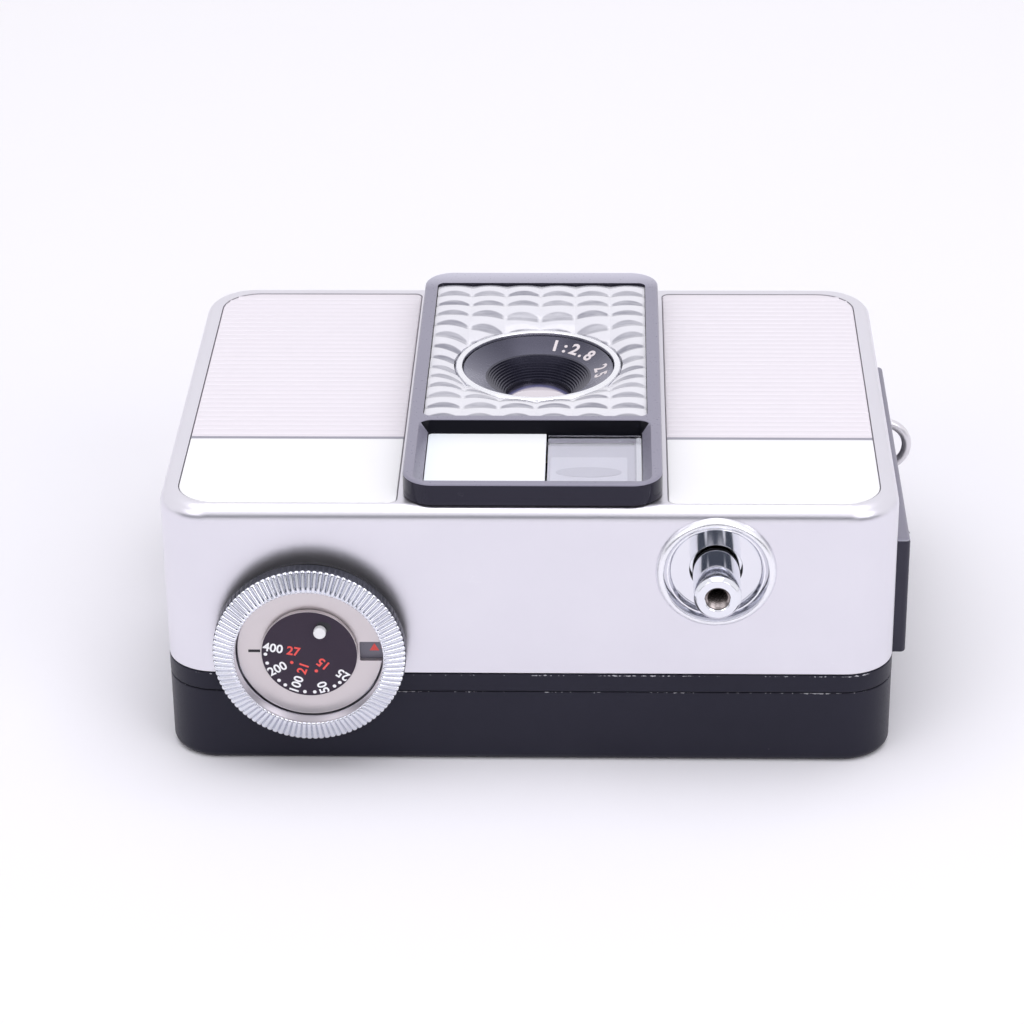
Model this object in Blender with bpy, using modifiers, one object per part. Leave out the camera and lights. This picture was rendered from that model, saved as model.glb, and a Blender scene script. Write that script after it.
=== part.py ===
"""Half frame camera with a clockwork film drive, lying on its back.

The pieces are separate objects in one frame: X runs to the right of the face,
Y from the top of the camera (minus) to its base (plus), and Z from the back
door (zero) to the front. All sizes are in metres.
"""

import math

import bmesh
import bpy
from mathutils import Matrix

# Casing
BODY_WIDTH = 0.0830
BODY_HEIGHT = 0.0615
BODY_DEPTH = 0.0325
CORNER_RADIUS = 0.0058
FRONT_EDGE_RADIUS = 0.0018
COVER_WALL = 0.0010
DOOR_DEPTH = 0.0091
DOOR_WALL = 0.0015
DOOR_EDGE_RADIUS = 0.0010
FLANGE_THICKNESS = 0.0022
FLANGE_RIM = 0.0020
CHASSIS_WALL = 0.0012

# Clearances
SEAT = 0.0001
SEAM = 0.00015
FIT = 0.0003
OVERCUT = 0.0100

# Lens, film and finder
CENTRE_X = 0.0005
LENS_Y = 0.00475
FILM_PLANE = 0.0075
FILM_APERTURE = (0.0182, 0.0242)
TUNNEL_NECK = 0.0062
GATE_HEIGHT = 0.0376
RAIL_OFFSET = 0.0018
RAIL_WIDTH = 0.0017
CASSETTE_RADIUS = 0.0127
CASSETTE_LENGTH = 0.0472
CASSETTE_Z = 0.0172
FINDER_OFFSET_X = 0.0071
FINDER_SIZE = (0.0096, 0.0092)
FINDER_MARGIN = 0.0039
FINDER_WALL = 0.0007
FINDER_LENS = 0.0016
FINDER_LENS_EDGE = 0.0004

# Raised frame of the light meter and its windows
FRAME_WIDTH = 0.0290
FRAME_RISE = 0.00275
FRAME_TOP_MARGIN = 0.0008
FRAME_BASE_MARGIN = 0.00195
FRAME_CORNER = 0.0035
FRAME_EDGE = 0.0003
FRAME_SIDE_BAR = 0.0016
FRAME_NEAR_BAR = 0.0009
FRAME_FAR_BAR = 0.0034
CROSSBAR_FAR_Y = -0.01255
CROSSBAR_WIDTH = 0.00105
WINDOW_DEPTH = 0.00145
WINDOW_SLOPE = 0.0010
WINDOW_THICKNESS = 0.0010
WINDOW_SPLIT_X = 0.00195
CELL_LENS_DROP = 0.0001
CELL_THICKNESS = 0.0009
RECESS_SIDE_BAR = 0.0012
OPENING_RIM = 0.0009

# Front panels
PANEL_MARGIN = 0.0022
PANEL_FRAME_GAP = 0.00065
PANEL_TOP_MARGIN = 0.0016
PANEL_BASE_MARGIN = 0.0026
PANEL_DIVIDER_Y = -0.01275
PANEL_DIVIDER = 0.0007
PANEL_DEPTH = 0.00045
PANEL_THICKNESS = 0.00035
PANEL_OUTER_CORNER = 0.0044
PANEL_INNER_CORNER = 0.0009

# Lens and shutter
TRIM_RING_RADIUS = 0.0098
NAME_RING_RADIUS = 0.0090
CONE_RADIUS = 0.0057
CONE_DROP = 0.00155
GLASS_RADIUS = 0.00425
NAME_RING_DROP = 0.0018
LENS_BOARD_SIZE = (0.0330, 0.0390)
LENS_BOARD_THICKNESS = 0.0010
BARREL_RADIUS = 0.0080
BARREL_LENGTH = 0.0040
SHUTTER_RADIUS = 0.0130
SHUTTER_PLATE = 0.0010
BLADE_THICKNESS = 0.0003
BLADE_RADIUS = 0.0053
BLADE_PIVOT = (0.0075, 0.0070)
BLADE_ARM = 0.0013
BLADE_OVERLAP = 0.0005
PIVOT_RADIUS = 0.0006
APERTURE_RADIUS = 0.0038
REAR_CELL_RADIUS = 0.0065
REAR_CELL_LENGTH = 0.0032
REAR_GLASS_RADIUS = 0.0039
LEDGE_HEIGHT = 0.0013
STOP_RADIUS = 0.0034
FRONT_LENS = (0.0014, 0.0007)
MIDDLE_LENS = (0.0008, -0.0002)
REAR_LENS = (0.0013, 0.0006)

# Film speed and aperture dial on the top face
DIAL_X = -0.0246
DIAL_Z = 0.01545
DIAL_RADIUS = 0.0109
DIAL_RISE = 0.0031
DIAL_RING = 0.0024
DIAL_LIP = 0.0012
DIAL_UNDERCUT = 0.0012
DIAL_HUB_RADIUS = 0.0024
DIAL_HUB_REACH = 0.0022
DIAL_POST_RADIUS = 0.0013
DIAL_PLATE = 0.0006
SPEED_DISC_RADIUS = 0.00545
SPEED_PEG_PLACE = (0.0013, 0.0030)
SPEED_PEG_RADIUS = 0.0007
SPEED_PEG_HEIGHT = 0.0007
DIAL_WINDOW = (0.0022, 0.0024)

# Shutter release on the top face
RELEASE_X = 0.0210
RELEASE_Z = 0.02475
COLLAR_RADIUS = 0.0066
COLLAR_DISH_RADIUS = 0.00505
COLLAR_RISE = 0.0008
BUTTON_RADIUS = 0.00265
BUTTON_HEIGHT = 0.0064
BUTTON_FLANGE = 0.0036
SOCKET_RADIUS = 0.00135
SOCKET_DEPTH = 0.0045
STEM_RADIUS = 0.0013
STEM_LENGTH = 0.0060
SPRING_RADIUS = 0.0022
SPRING_WIRE = 0.00022
SPRING_TURNS = 5

# Hinge plate, strap eye and latch on the sides
PLATE_THICKNESS = 0.00175
PLATE_LENGTH = 0.0454
PLATE_FRONT_Z = 0.0242
PLATE_CORNER = 0.0006
PLATE_SCREW_DROP = 0.0040
PLATE_SCREW_SPREAD = 0.0150
KNUCKLE_CLEARANCE = 0.0015
HINGE_Z = 0.0102
KNUCKLE_RADIUS = 0.00085
KNUCKLE_HALF_LENGTH = 0.0080
HINGE_PIN_RADIUS = 0.00038
DOOR_PAD_DEPTH = 0.0030
EYE_Y = 0.0205
EYE_Z = 0.0150
EYE_HALF_WIDTH = 0.0025
EYE_REACH = 0.0030
EYE_WIRE = 0.0006
LATCH_Y = 0.0060
LATCH_LENGTH = 0.0090
LATCH_Z = 0.0048
LATCH_TRAVEL = 0.0030
LATCH_THICKNESS = 0.0008
LATCH_HEIGHT = 0.0038
LATCH_HOOK_HEIGHT = 0.0028
LATCH_STEM = (0.0028, 0.0010)

# Film drive
GEAR_MODULE = 0.00072
DRUM_TEETH = 24
SPROCKET_TEETH_GEAR = 16
GEAR_WIDTH = 0.0016
DRUM_RADIUS = 0.0082
DRUM_WALL = 0.0010
DRUM_Z = 0.0188
SPROCKET_Z = 0.0122
SPROCKET_RADIUS = 0.0045
SPROCKET_TOOTH = 0.0010
SPROCKET_TEETH = 6
SPROCKET_CORE_RADIUS = 0.0034
SPROCKET_TRACK = 0.0141
SPROCKET_WHEEL = 0.0016
SHAFT_RADIUS = 0.0018
MAINSPRING_TURNS = 5
MAINSPRING_STRIP = 0.00025
DECK_THICKNESS = 0.0040
DRUM_END_GAP = 0.0018
FILM_SLOT = (0.0016, 0.0290)
SPROCKET_SHAFT_RADIUS = 0.00145

# Base fittings
KNOB_RADIUS = 0.0102
KNOB_HEIGHT = 0.0032
KNOB_DISH_RADIUS = 0.0074
KNOB_EDGE = 0.0006
REWIND_RADIUS = 0.0075
REWIND_HEIGHT = 0.0016
FORK_RADIUS = 0.0026
FORK_LENGTH = 0.0036
FORK_SLOT = (0.0016, 0.0024)
CRANK_WIDTH = 0.0044
CRANK_THICKNESS = 0.0012
CRANK_BOSS = 0.0019
CRANK_LIFT = 0.0009
CRANK_TAIL = 0.0007
CRANK_PIVOT_OFFSET = 0.0052
CRANK_LENGTH = 0.0118
CRANK_PIN_RADIUS = 0.00045
CRANK_GRIP_RADIUS = 0.0016
CRANK_GRIP_HEIGHT = 0.0022
CRANK_GRIP_INSET = 0.0019
TRIPOD_Z = 0.0200
TRIPOD_HOLE_RADIUS = 0.0032
TRIPOD_BODY_RADIUS = 0.0046
TRIPOD_FLANGE_RADIUS = 0.0056
TRIPOD_DEPTH = 0.0060
REWIND_BUTTON_X = -0.0110
REWIND_BUTTON_RADIUS = 0.0022
REWIND_BUTTON_RISE = 0.0012
REWIND_BUTTON_TRAVEL = 0.0010
REWIND_BUTTON_DEPTH = 0.0045
COUNTER_X = 0.0116
COUNTER_Z = 0.0210
COUNTER_WINDOW_RADIUS = 0.0034
COUNTER_RADIUS = 0.0050
COUNTER_THICKNESS = 0.0007
COUNTER_DEPTH = 0.0020
SCREW_RADIUS = 0.0014
SCREW_HEAD = 0.0005
SCREW_SLOT = 0.0003
BASE_SCREW_DROP = 0.0050
BASE_SCREW_INSET = 0.0060
BASE_SCREW_GAP = 0.0030

# Light meter movement
METER_X = -0.0085
METER_RADIUS = 0.0036
METER_LOW_Z = 0.0140
METER_HIGH_Z = 0.0240
NEEDLE_LENGTH = 0.0075
NEEDLE_WIDTH = 0.0008
NEEDLE_THICKNESS = 0.0004

# Back door fittings
EYEPIECE_SIZE = (0.0090, 0.0066)
EYEPIECE_RIM = 0.0011
EYEPIECE_CORNER = 0.0012
PRESSURE_PLATE_THICKNESS = 0.0008
PRESSURE_PLATE_HEIGHT = 0.0350
PRESSURE_SPRING_STRIP = 0.0003
PRESSURE_SPRING_WIDTH = 0.0090
PRESSURE_SPRING_SPAN = 0.0150

# Facets of the round pieces
FINE = 36
MEDIUM = 24
COARSE = 14

# Lines worked out from the sizes above
HALF_WIDTH = BODY_WIDTH / 2
HALF_HEIGHT = BODY_HEIGHT / 2
FLANGE_LOW = DOOR_DEPTH + SEAM
FLANGE_HIGH = FLANGE_LOW + FLANGE_THICKNESS
COVER_LOW = FLANGE_HIGH + SEAT
COVER_INNER_X = HALF_WIDTH - COVER_WALL
COVER_INNER_Y = HALF_HEIGHT - COVER_WALL
COVER_INNER_Z = BODY_DEPTH - COVER_WALL
CHASSIS_X = COVER_INNER_X - FIT
CHASSIS_Y = COVER_INNER_Y - FIT
BOARD_HIGH = COVER_INNER_Z - FIT - SEAT
BOARD_LOW = BOARD_HIGH - LENS_BOARD_THICKNESS
CHASSIS_HIGH = BOARD_LOW - FIT
FRAME_TOP = BODY_DEPTH + FRAME_RISE
FRAME_LOW_Y = -HALF_HEIGHT + FRAME_TOP_MARGIN
FRAME_HIGH_Y = HALF_HEIGHT - FRAME_BASE_MARGIN
FRAME_LEFT = CENTRE_X - FRAME_WIDTH / 2
FRAME_RIGHT = CENTRE_X + FRAME_WIDTH / 2
CELL_LEFT = FRAME_LEFT + FRAME_SIDE_BAR
CELL_RIGHT = FRAME_RIGHT - FRAME_SIDE_BAR
CELL_LOW_Y = CROSSBAR_FAR_Y
CELL_HIGH_Y = FRAME_HIGH_Y - FRAME_FAR_BAR
RECESS_LOW_Y = FRAME_LOW_Y + FRAME_NEAR_BAR
RECESS_HIGH_Y = CROSSBAR_FAR_Y - CROSSBAR_WIDTH
RECESS_LEFT = FRAME_LEFT + RECESS_SIDE_BAR
RECESS_RIGHT = FRAME_RIGHT - RECESS_SIDE_BAR
WINDOW_LEFT = RECESS_LEFT + WINDOW_SLOPE
WINDOW_RIGHT = RECESS_RIGHT - WINDOW_SLOPE
WINDOW_LOW_Y = RECESS_LOW_Y + WINDOW_SLOPE / 2
WINDOW_HIGH_Y = RECESS_HIGH_Y - WINDOW_SLOPE / 2
WINDOW_TOP = FRAME_TOP - WINDOW_DEPTH
PANEL_OUTER_X = HALF_WIDTH - PANEL_MARGIN
PANEL_LEFT_INNER = FRAME_LEFT - PANEL_FRAME_GAP
PANEL_RIGHT_INNER = FRAME_RIGHT + PANEL_FRAME_GAP
PANEL_LOW_Y = -HALF_HEIGHT + PANEL_TOP_MARGIN
PANEL_HIGH_Y = HALF_HEIGHT - PANEL_BASE_MARGIN
NAME_RING_TOP = FRAME_TOP - NAME_RING_DROP
NAME_RING_LOW = BOARD_HIGH + SEAT
BARREL_LOW = BOARD_HIGH - BARREL_LENGTH
BLADE_B_LOW = BARREL_LOW - FIT - BLADE_THICKNESS
BLADE_A_LOW = BLADE_B_LOW - FIT - BLADE_THICKNESS
SHUTTER_HIGH = BLADE_A_LOW - FIT
SHUTTER_LOW = SHUTTER_HIGH - SHUTTER_PLATE
REAR_CELL_HIGH = SHUTTER_LOW - SEAT
REAR_CELL_LOW = REAR_CELL_HIGH - REAR_CELL_LENGTH
FINDER_X = CENTRE_X + FINDER_OFFSET_X
FINDER_LOW_Y = -HALF_HEIGHT + FINDER_MARGIN
FINDER_HIGH_Y = FINDER_LOW_Y + FINDER_SIZE[1]
CASSETTE_X = -(COVER_INNER_X - CASSETTE_RADIUS - SEAT)
CHAMBER_LOW_Y = LENS_Y - CASSETTE_LENGTH / 2
CHAMBER_HIGH_Y = LENS_Y + CASSETTE_LENGTH / 2
GATE_LEFT = CASSETTE_X + CASSETTE_RADIUS + SEAT
BAY_LOW_Y = -CHASSIS_Y + CHASSIS_WALL
BAY_HIGH_Y = CHAMBER_LOW_Y - CHASSIS_WALL
BAY_LOW_Z = FLANGE_HIGH + CHASSIS_WALL / 2
GEAR_DISTANCE = GEAR_MODULE * (DRUM_TEETH + SPROCKET_TEETH_GEAR) / 2
DRUM_X = CHASSIS_X - CHASSIS_WALL - GEAR_MODULE * (DRUM_TEETH / 2 + 1) - 3 * FIT
SPROCKET_X = DRUM_X - math.sqrt(GEAR_DISTANCE ** 2 - (DRUM_Z - SPROCKET_Z) ** 2)
DRIVE_LOW_Y = BAY_HIGH_Y + DECK_THICKNESS
GEAR_LOW_Y = DRIVE_LOW_Y + 2 * FIT
DRUM_LOW_Y = GEAR_LOW_Y + GEAR_WIDTH + FIT
DRUM_HIGH_Y = CHAMBER_HIGH_Y - DRUM_END_GAP
SPROCKET_BAY_LEFT = SPROCKET_X - SPROCKET_RADIUS - SPROCKET_TOOTH - FIT
GEAR_BAY_LEFT = SPROCKET_X - GEAR_MODULE * (SPROCKET_TEETH_GEAR / 2 + 1) - FIT
GATE_RIGHT = SPROCKET_BAY_LEFT
HINGE_X = HALF_WIDTH + SEAT + PLATE_THICKNESS / 2
PLATE_FACE = HALF_WIDTH + SEAT + PLATE_THICKNESS


def clear_scene():
    """Remove every object that the file starts with."""
    for old in list(bpy.data.objects):
        bpy.data.objects.remove(old, do_unlink=True)


def new_collection(name):
    """Return a new collection that hangs under the scene."""
    collection = bpy.data.collections.new(name)
    bpy.context.scene.collection.children.link(collection)
    return collection


clear_scene()
PARTS = new_collection("half_frame_camera")
CUTTERS = new_collection("cutters")


def finish(name, colour, roughness, metallic=0.0, transmission=0.0):
    """Return a new Principled material."""
    material = bpy.data.materials.new(name)
    material.use_nodes = True
    shader = material.node_tree.nodes["Principled BSDF"]
    shader.inputs["Base Color"].default_value = (*colour, 1.0)
    shader.inputs["Roughness"].default_value = roughness
    shader.inputs["Metallic"].default_value = metallic
    shader.inputs["Transmission Weight"].default_value = transmission
    return material


SILVER = finish("satin_silver", (0.62, 0.61, 0.63), 0.35, 1.0)
CHROME = finish("chrome", (0.75, 0.75, 0.76), 0.12, 1.0)
STEEL = finish("spring_steel", (0.45, 0.45, 0.47), 0.30, 1.0)
BRASS = finish("brass", (0.70, 0.52, 0.25), 0.35, 1.0)
BLACK = finish("black_paint", (0.012, 0.012, 0.014), 0.35)
MATT_BLACK = finish("matt_black", (0.010, 0.010, 0.010), 0.75)
GLOSS_BLACK = finish("gloss_black", (0.008, 0.008, 0.009), 0.12)
CHAMPAGNE = finish("champagne_plate", (0.62, 0.52, 0.40), 0.40, 0.6)
PINK = finish("ribbed_plate", (0.70, 0.60, 0.55), 0.45, 0.4)
WHITE = finish("white_enamel", (0.85, 0.85, 0.86), 0.25)
FROSTED = finish("frosted_window", (0.80, 0.80, 0.80), 0.50)
GLASS = finish("glass", (0.90, 0.92, 0.95), 0.03, 0.0, 1.0)
SELENIUM = finish("selenium", (0.05, 0.05, 0.06), 0.40)


def add(name, data, material, place=None):
    """Link a new part that holds the given data."""
    part = bpy.data.objects.new(name, data)
    PARTS.objects.link(part)
    data.materials.append(material)
    if place is not None:
        part.matrix_world = place
    return part


def as_tool(part):
    """Turn a part into a hidden tool for Boolean cuts and unions."""
    PARTS.objects.unlink(part)
    CUTTERS.objects.link(part)
    part.hide_render = True
    part.display_type = "WIRE"


def combine(target, tool, operation):
    """Add a Boolean of the target with a tool."""
    as_tool(tool)
    modifier = target.modifiers.new(tool.name, "BOOLEAN")
    modifier.operation = operation
    modifier.object = tool


def cut(target, *tools):
    """Take the tools away from the target."""
    for tool in tools:
        combine(target, tool, "DIFFERENCE")


def unite(target, *tools):
    """Make the tools one body with the target."""
    for tool in tools:
        combine(target, tool, "UNION")


def along_y(x, z, y=0.0):
    """Return the placement whose local Z runs along Y, towards the base."""
    return Matrix.Translation((x, y, z)) @ Matrix.Rotation(-math.pi / 2, 4, "X")


def on_top(x, z):
    """Return the placement on the top face whose local Z points out of it."""
    return Matrix.Translation((x, -HALF_HEIGHT, z)) @ Matrix.Rotation(math.pi / 2, 4, "X")


def at(x, y, z=0.0):
    """Return a plain shift."""
    return Matrix.Translation((x, y, z))


def round_edges(bm, picks, radius, segments):
    """Round the edges for which picks is true."""
    edges = [edge for edge in bm.edges if picks(edge)]
    bmesh.ops.bevel(bm, geom=edges, offset=radius, offset_type="OFFSET", segments=segments,
                    profile=0.5, affect="EDGES", clamp_overlap=True)


def upright_at(edge, x, y):
    """Say whether an edge runs along Z at the place x, y."""
    reach = 1e-6
    return all(abs(v.co.x - x) < reach and abs(v.co.y - y) < reach for v in edge.verts)


def block(name, low, high, material, corners=(0.0, 0.0, 0.0, 0.0), rim=0.0, rim_low=0.0,
          place=None, segments=5):
    """Return a box whose upright corners and flat rims can be rounded.

    The corner radii start at low X and low Y and go round through high X.
    """
    bm = bmesh.new()
    bmesh.ops.create_cube(bm, size=1.0)
    middle = [(a + b) / 2 for a, b in zip(low, high)]
    size = [b - a for a, b in zip(low, high)]
    shape = Matrix.Translation(middle) @ Matrix.Diagonal((*size, 1.0))
    bmesh.ops.transform(bm, matrix=shape, verts=bm.verts)
    places = [(low[0], low[1]), (high[0], low[1]), (high[0], high[1]), (low[0], high[1])]
    for radius, (x, y) in zip(corners, places):
        if radius > 0.0:
            round_edges(bm, lambda edge: upright_at(edge, x, y), radius, segments)
    for radius, level in ((rim, high[2]), (rim_low, low[2])):
        if radius > 0.0:
            round_edges(bm, lambda edge: all(abs(v.co.z - level) < 1e-6 for v in edge.verts), radius, 3)
    mesh = bpy.data.meshes.new(name)
    bm.to_mesh(mesh)
    bm.free()
    return add(name, mesh, material, place)


def same(radius):
    """Return one radius for all four corners."""
    return (radius, radius, radius, radius)


def disc(name, radius, low, high, material, place=None, facets=MEDIUM, far_radius=None):
    """Return a cylinder, or a cone, that runs from low to high along its local Z."""
    bm = bmesh.new()
    far = radius if far_radius is None else far_radius
    shift = Matrix.Translation((0.0, 0.0, (low + high) / 2))
    bmesh.ops.create_cone(bm, cap_ends=True, segments=facets, radius1=radius, radius2=far,
                          depth=high - low, matrix=shift)
    mesh = bpy.data.meshes.new(name)
    bm.to_mesh(mesh)
    bm.free()
    part = add(name, mesh, material, place)
    mesh.shade_smooth()
    mesh.set_sharp_from_angle(angle=math.radians(40.0))
    return part


def turned(name, profile, material, place=None, facets=MEDIUM):
    """Return a turned piece; the profile lists radius and height, down its outer side.

    A profile that starts and ends on the axis is open, and any other is a loop.
    """
    count = len(profile)
    points = [(radius, 0.0, height) for radius, height in profile]
    edges = [(i, i + 1) for i in range(count - 1)]
    if profile[0][0] > 0.0:
        edges.append((count - 1, 0))
    mesh = bpy.data.meshes.new(name)
    mesh.from_pydata(points, edges, [])
    part = add(name, mesh, material, place)
    screw = part.modifiers.new("turn", "SCREW")
    screw.axis = "Z"
    screw.steps = facets
    screw.render_steps = facets
    screw.use_merge_vertices = True
    screw.merge_threshold = 1e-6
    screw.use_smooth_shade = False
    return part


def plate(name, loops, low, high, material, place=None):
    """Return a flat outline with its holes, filled and given a thickness, as a mesh."""
    curve = bpy.data.curves.new(name, "CURVE")
    curve.dimensions = "2D"
    curve.fill_mode = "BOTH"
    curve.extrude = (high - low) / 2
    for loop in loops:
        spline = curve.splines.new("POLY")
        spline.points.add(len(loop) - 1)
        for point, (x, y) in zip(spline.points, loop):
            point.co = (x, y, 0.0, 1.0)
        spline.use_cyclic_u = True
    guide = bpy.data.objects.new(name + "_outline", curve)
    CUTTERS.objects.link(guide)
    mesh = bpy.data.meshes.new_from_object(guide.evaluated_get(bpy.context.evaluated_depsgraph_get()))
    bpy.data.objects.remove(guide, do_unlink=True)
    bm = bmesh.new()
    bm.from_mesh(mesh)
    bmesh.ops.remove_doubles(bm, verts=bm.verts, dist=1e-7)
    bmesh.ops.translate(bm, verts=bm.verts, vec=(0.0, 0.0, (low + high) / 2))
    bmesh.ops.recalc_face_normals(bm, faces=bm.faces)
    bm.to_mesh(mesh)
    bm.free()
    mesh.name = name
    return add(name, mesh, material, place)


def tube(name, points, radius, material, resolution=2):
    """Return a wire along the given points."""
    curve = bpy.data.curves.new(name, "CURVE")
    curve.dimensions = "3D"
    curve.bevel_depth = radius
    curve.bevel_resolution = resolution
    curve.use_fill_caps = True
    spline = curve.splines.new("POLY")
    spline.points.add(len(points) - 1)
    for point, place in zip(spline.points, points):
        point.co = (*place, 1.0)
    return add(name, curve, material)


def ribbon(name, points, low_y, high_y, thickness, material):
    """Return a strip that follows points in the X and Z plane and is wide along Y."""
    bm = bmesh.new()
    verts = [bm.verts.new((x, low_y, z)) for x, z in points]
    edges = [bm.edges.new(pair) for pair in zip(verts, verts[1:])]
    grown = bmesh.ops.extrude_edge_only(bm, edges=edges)["geom"]
    moved = [item for item in grown if isinstance(item, bmesh.types.BMVert)]
    bmesh.ops.translate(bm, verts=moved, vec=(0.0, high_y - low_y, 0.0))
    mesh = bpy.data.meshes.new(name)
    bm.to_mesh(mesh)
    bm.free()
    part = add(name, mesh, material)
    shell = part.modifiers.new("strip", "SOLIDIFY")
    shell.thickness = thickness
    shell.offset = 0.0
    return part


def circle(radius, facets, x=0.0, y=0.0):
    """Return the points of a circle."""
    turn = 2 * math.pi / facets
    return [(x + radius * math.cos(turn * i), y + radius * math.sin(turn * i)) for i in range(facets)]


def toothed(teeth, points, phase):
    """Return a toothed outline; points lists radius and offset in parts of one tooth pitch."""
    outline = []
    for tooth in range(teeth):
        for radius, part in points:
            angle = phase + 2 * math.pi * (tooth + part) / teeth
            outline.append((radius * math.cos(angle), radius * math.sin(angle)))
    return outline


def gear_outline(teeth, phase):
    """Return the outline of a small gear with thin teeth."""
    pitch = GEAR_MODULE * teeth / 2
    root = pitch - 1.25 * GEAR_MODULE
    tip = pitch + 0.80 * GEAR_MODULE
    points = [(root, -0.29), (pitch, -0.20), (tip, -0.09), (tip, 0.09), (pitch, 0.20), (root, 0.29)]
    return toothed(teeth, points, phase)


def hole(target, name, radius, low, high, place, facets=MEDIUM):
    """Drill a round hole through the target."""
    cut(target, disc(name, radius, low, high, BLACK, place, facets))


def make_front_cover():
    """Drawn silver shell with pockets for the panels and all its openings."""
    cover = block("front_cover", (-HALF_WIDTH, -HALF_HEIGHT, COVER_LOW), (HALF_WIDTH, HALF_HEIGHT, BODY_DEPTH),
                  SILVER, same(CORNER_RADIUS), rim=FRONT_EDGE_RADIUS, segments=6)
    cut(cover, block("cover_hollow", (-COVER_INNER_X, -COVER_INNER_Y, COVER_LOW - OVERCUT),
                     (COVER_INNER_X, COVER_INNER_Y, COVER_INNER_Z), SILVER,
                     same(CORNER_RADIUS - COVER_WALL), segments=6))
    pocket_low = BODY_DEPTH - PANEL_DEPTH
    outer = PANEL_OUTER_CORNER + SEAT
    inner = PANEL_INNER_CORNER + SEAT
    cut(cover, block("left_pocket", (-PANEL_OUTER_X - SEAT, PANEL_LOW_Y - SEAT, pocket_low),
                     (PANEL_LEFT_INNER + SEAT, PANEL_HIGH_Y + SEAT, BODY_DEPTH + OVERCUT), SILVER,
                     (outer, inner, inner, outer)))
    cut(cover, block("right_pocket", (PANEL_RIGHT_INNER - SEAT, PANEL_LOW_Y - SEAT, pocket_low),
                     (PANEL_OUTER_X + SEAT, PANEL_HIGH_Y + SEAT, BODY_DEPTH + OVERCUT), SILVER,
                     (inner, outer, outer, inner)))
    cut(cover, block("cell_opening", (CELL_LEFT + OPENING_RIM, CELL_LOW_Y + OPENING_RIM, 0.0),
                     (CELL_RIGHT - OPENING_RIM, CELL_HIGH_Y - OPENING_RIM, BODY_DEPTH + OVERCUT), SILVER))
    cut(cover, block("finder_opening", (WINDOW_LEFT + OPENING_RIM, WINDOW_LOW_Y + OPENING_RIM, 0.0),
                     (WINDOW_RIGHT - OPENING_RIM, WINDOW_HIGH_Y - OPENING_RIM, BODY_DEPTH + OVERCUT), SILVER))
    through = 2 * COVER_WALL
    hole(cover, "dial_hole", DIAL_HUB_RADIUS + FIT, -through, COVER_WALL, on_top(DIAL_X, DIAL_Z), COARSE)
    hole(cover, "collar_hole", COLLAR_DISH_RADIUS + 2 * FIT, -through, COVER_WALL, on_top(RELEASE_X, RELEASE_Z))
    base = {"wind_hole": (DRUM_X, DRUM_Z, SHAFT_RADIUS),
            "rewind_hole": (CASSETTE_X, CASSETTE_Z, SHAFT_RADIUS),
            "tripod_hole": (0.0, TRIPOD_Z, TRIPOD_BODY_RADIUS),
            "rewind_button_hole": (REWIND_BUTTON_X, TRIPOD_Z, REWIND_BUTTON_RADIUS),
            "counter_hole": (COUNTER_X, COUNTER_Z, COUNTER_WINDOW_RADIUS - 2 * FIT)}
    for name, (x, z, radius) in base.items():
        hole(cover, name, radius + FIT, -through, through, along_y(x, z, HALF_HEIGHT), COARSE)


def make_panels():
    """White band and ribbed plate on each side of the raised frame."""
    top = BODY_DEPTH - PANEL_DEPTH + SEAT + PANEL_THICKNESS
    low = BODY_DEPTH - PANEL_DEPTH + SEAT
    split = (PANEL_DIVIDER_Y - PANEL_DIVIDER / 2, PANEL_DIVIDER_Y + PANEL_DIVIDER / 2)
    spans = {"left": (-PANEL_OUTER_X, PANEL_LEFT_INNER), "right": (PANEL_RIGHT_INNER, PANEL_OUTER_X)}
    for side, (x_low, x_high) in spans.items():
        first = PANEL_OUTER_CORNER if side == "left" else PANEL_INNER_CORNER
        second = PANEL_INNER_CORNER if side == "left" else PANEL_OUTER_CORNER
        block(side + "_white_panel", (x_low, PANEL_LOW_Y, low), (x_high, split[0], top), WHITE,
              (first, second, 0.0, 0.0))
        block(side + "_ribbed_panel", (x_low, split[1], low), (x_high, PANEL_HIGH_Y, top), PINK,
              (0.0, 0.0, second, first))


def make_cell_frame():
    """Raised black frame with the meter window and the sloped finder recess."""
    low = BODY_DEPTH + SEAT
    frame = block("cell_frame", (FRAME_LEFT, FRAME_LOW_Y, low), (FRAME_RIGHT, FRAME_HIGH_Y, FRAME_TOP),
                  GLOSS_BLACK, same(FRAME_CORNER), rim=FRAME_EDGE)
    cut(frame, block("cell_window", (CELL_LEFT, CELL_LOW_Y, 0.0),
                     (CELL_RIGHT, CELL_HIGH_Y, FRAME_TOP + OVERCUT), BLACK, same(PANEL_INNER_CORNER)))
    cut(frame, block("window_pocket", (WINDOW_LEFT, WINDOW_LOW_Y, 0.0),
                     (WINDOW_RIGHT, WINDOW_HIGH_Y, FRAME_TOP), BLACK, same(PANEL_INNER_CORNER)))
    recess = block("finder_recess", (RECESS_LEFT, RECESS_LOW_Y, WINDOW_TOP),
                   (RECESS_RIGHT, RECESS_HIGH_Y, FRAME_TOP + SEAT), BLACK)
    middle_x = (RECESS_LEFT + RECESS_RIGHT) / 2
    middle_y = (RECESS_LOW_Y + RECESS_HIGH_Y) / 2
    for vert in recess.data.vertices:
        if vert.co.z < FRAME_TOP:
            vert.co.x -= math.copysign(WINDOW_SLOPE, vert.co.x - middle_x)
            vert.co.y -= math.copysign(WINDOW_SLOPE / 2, vert.co.y - middle_y)
    cut(frame, recess)


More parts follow.
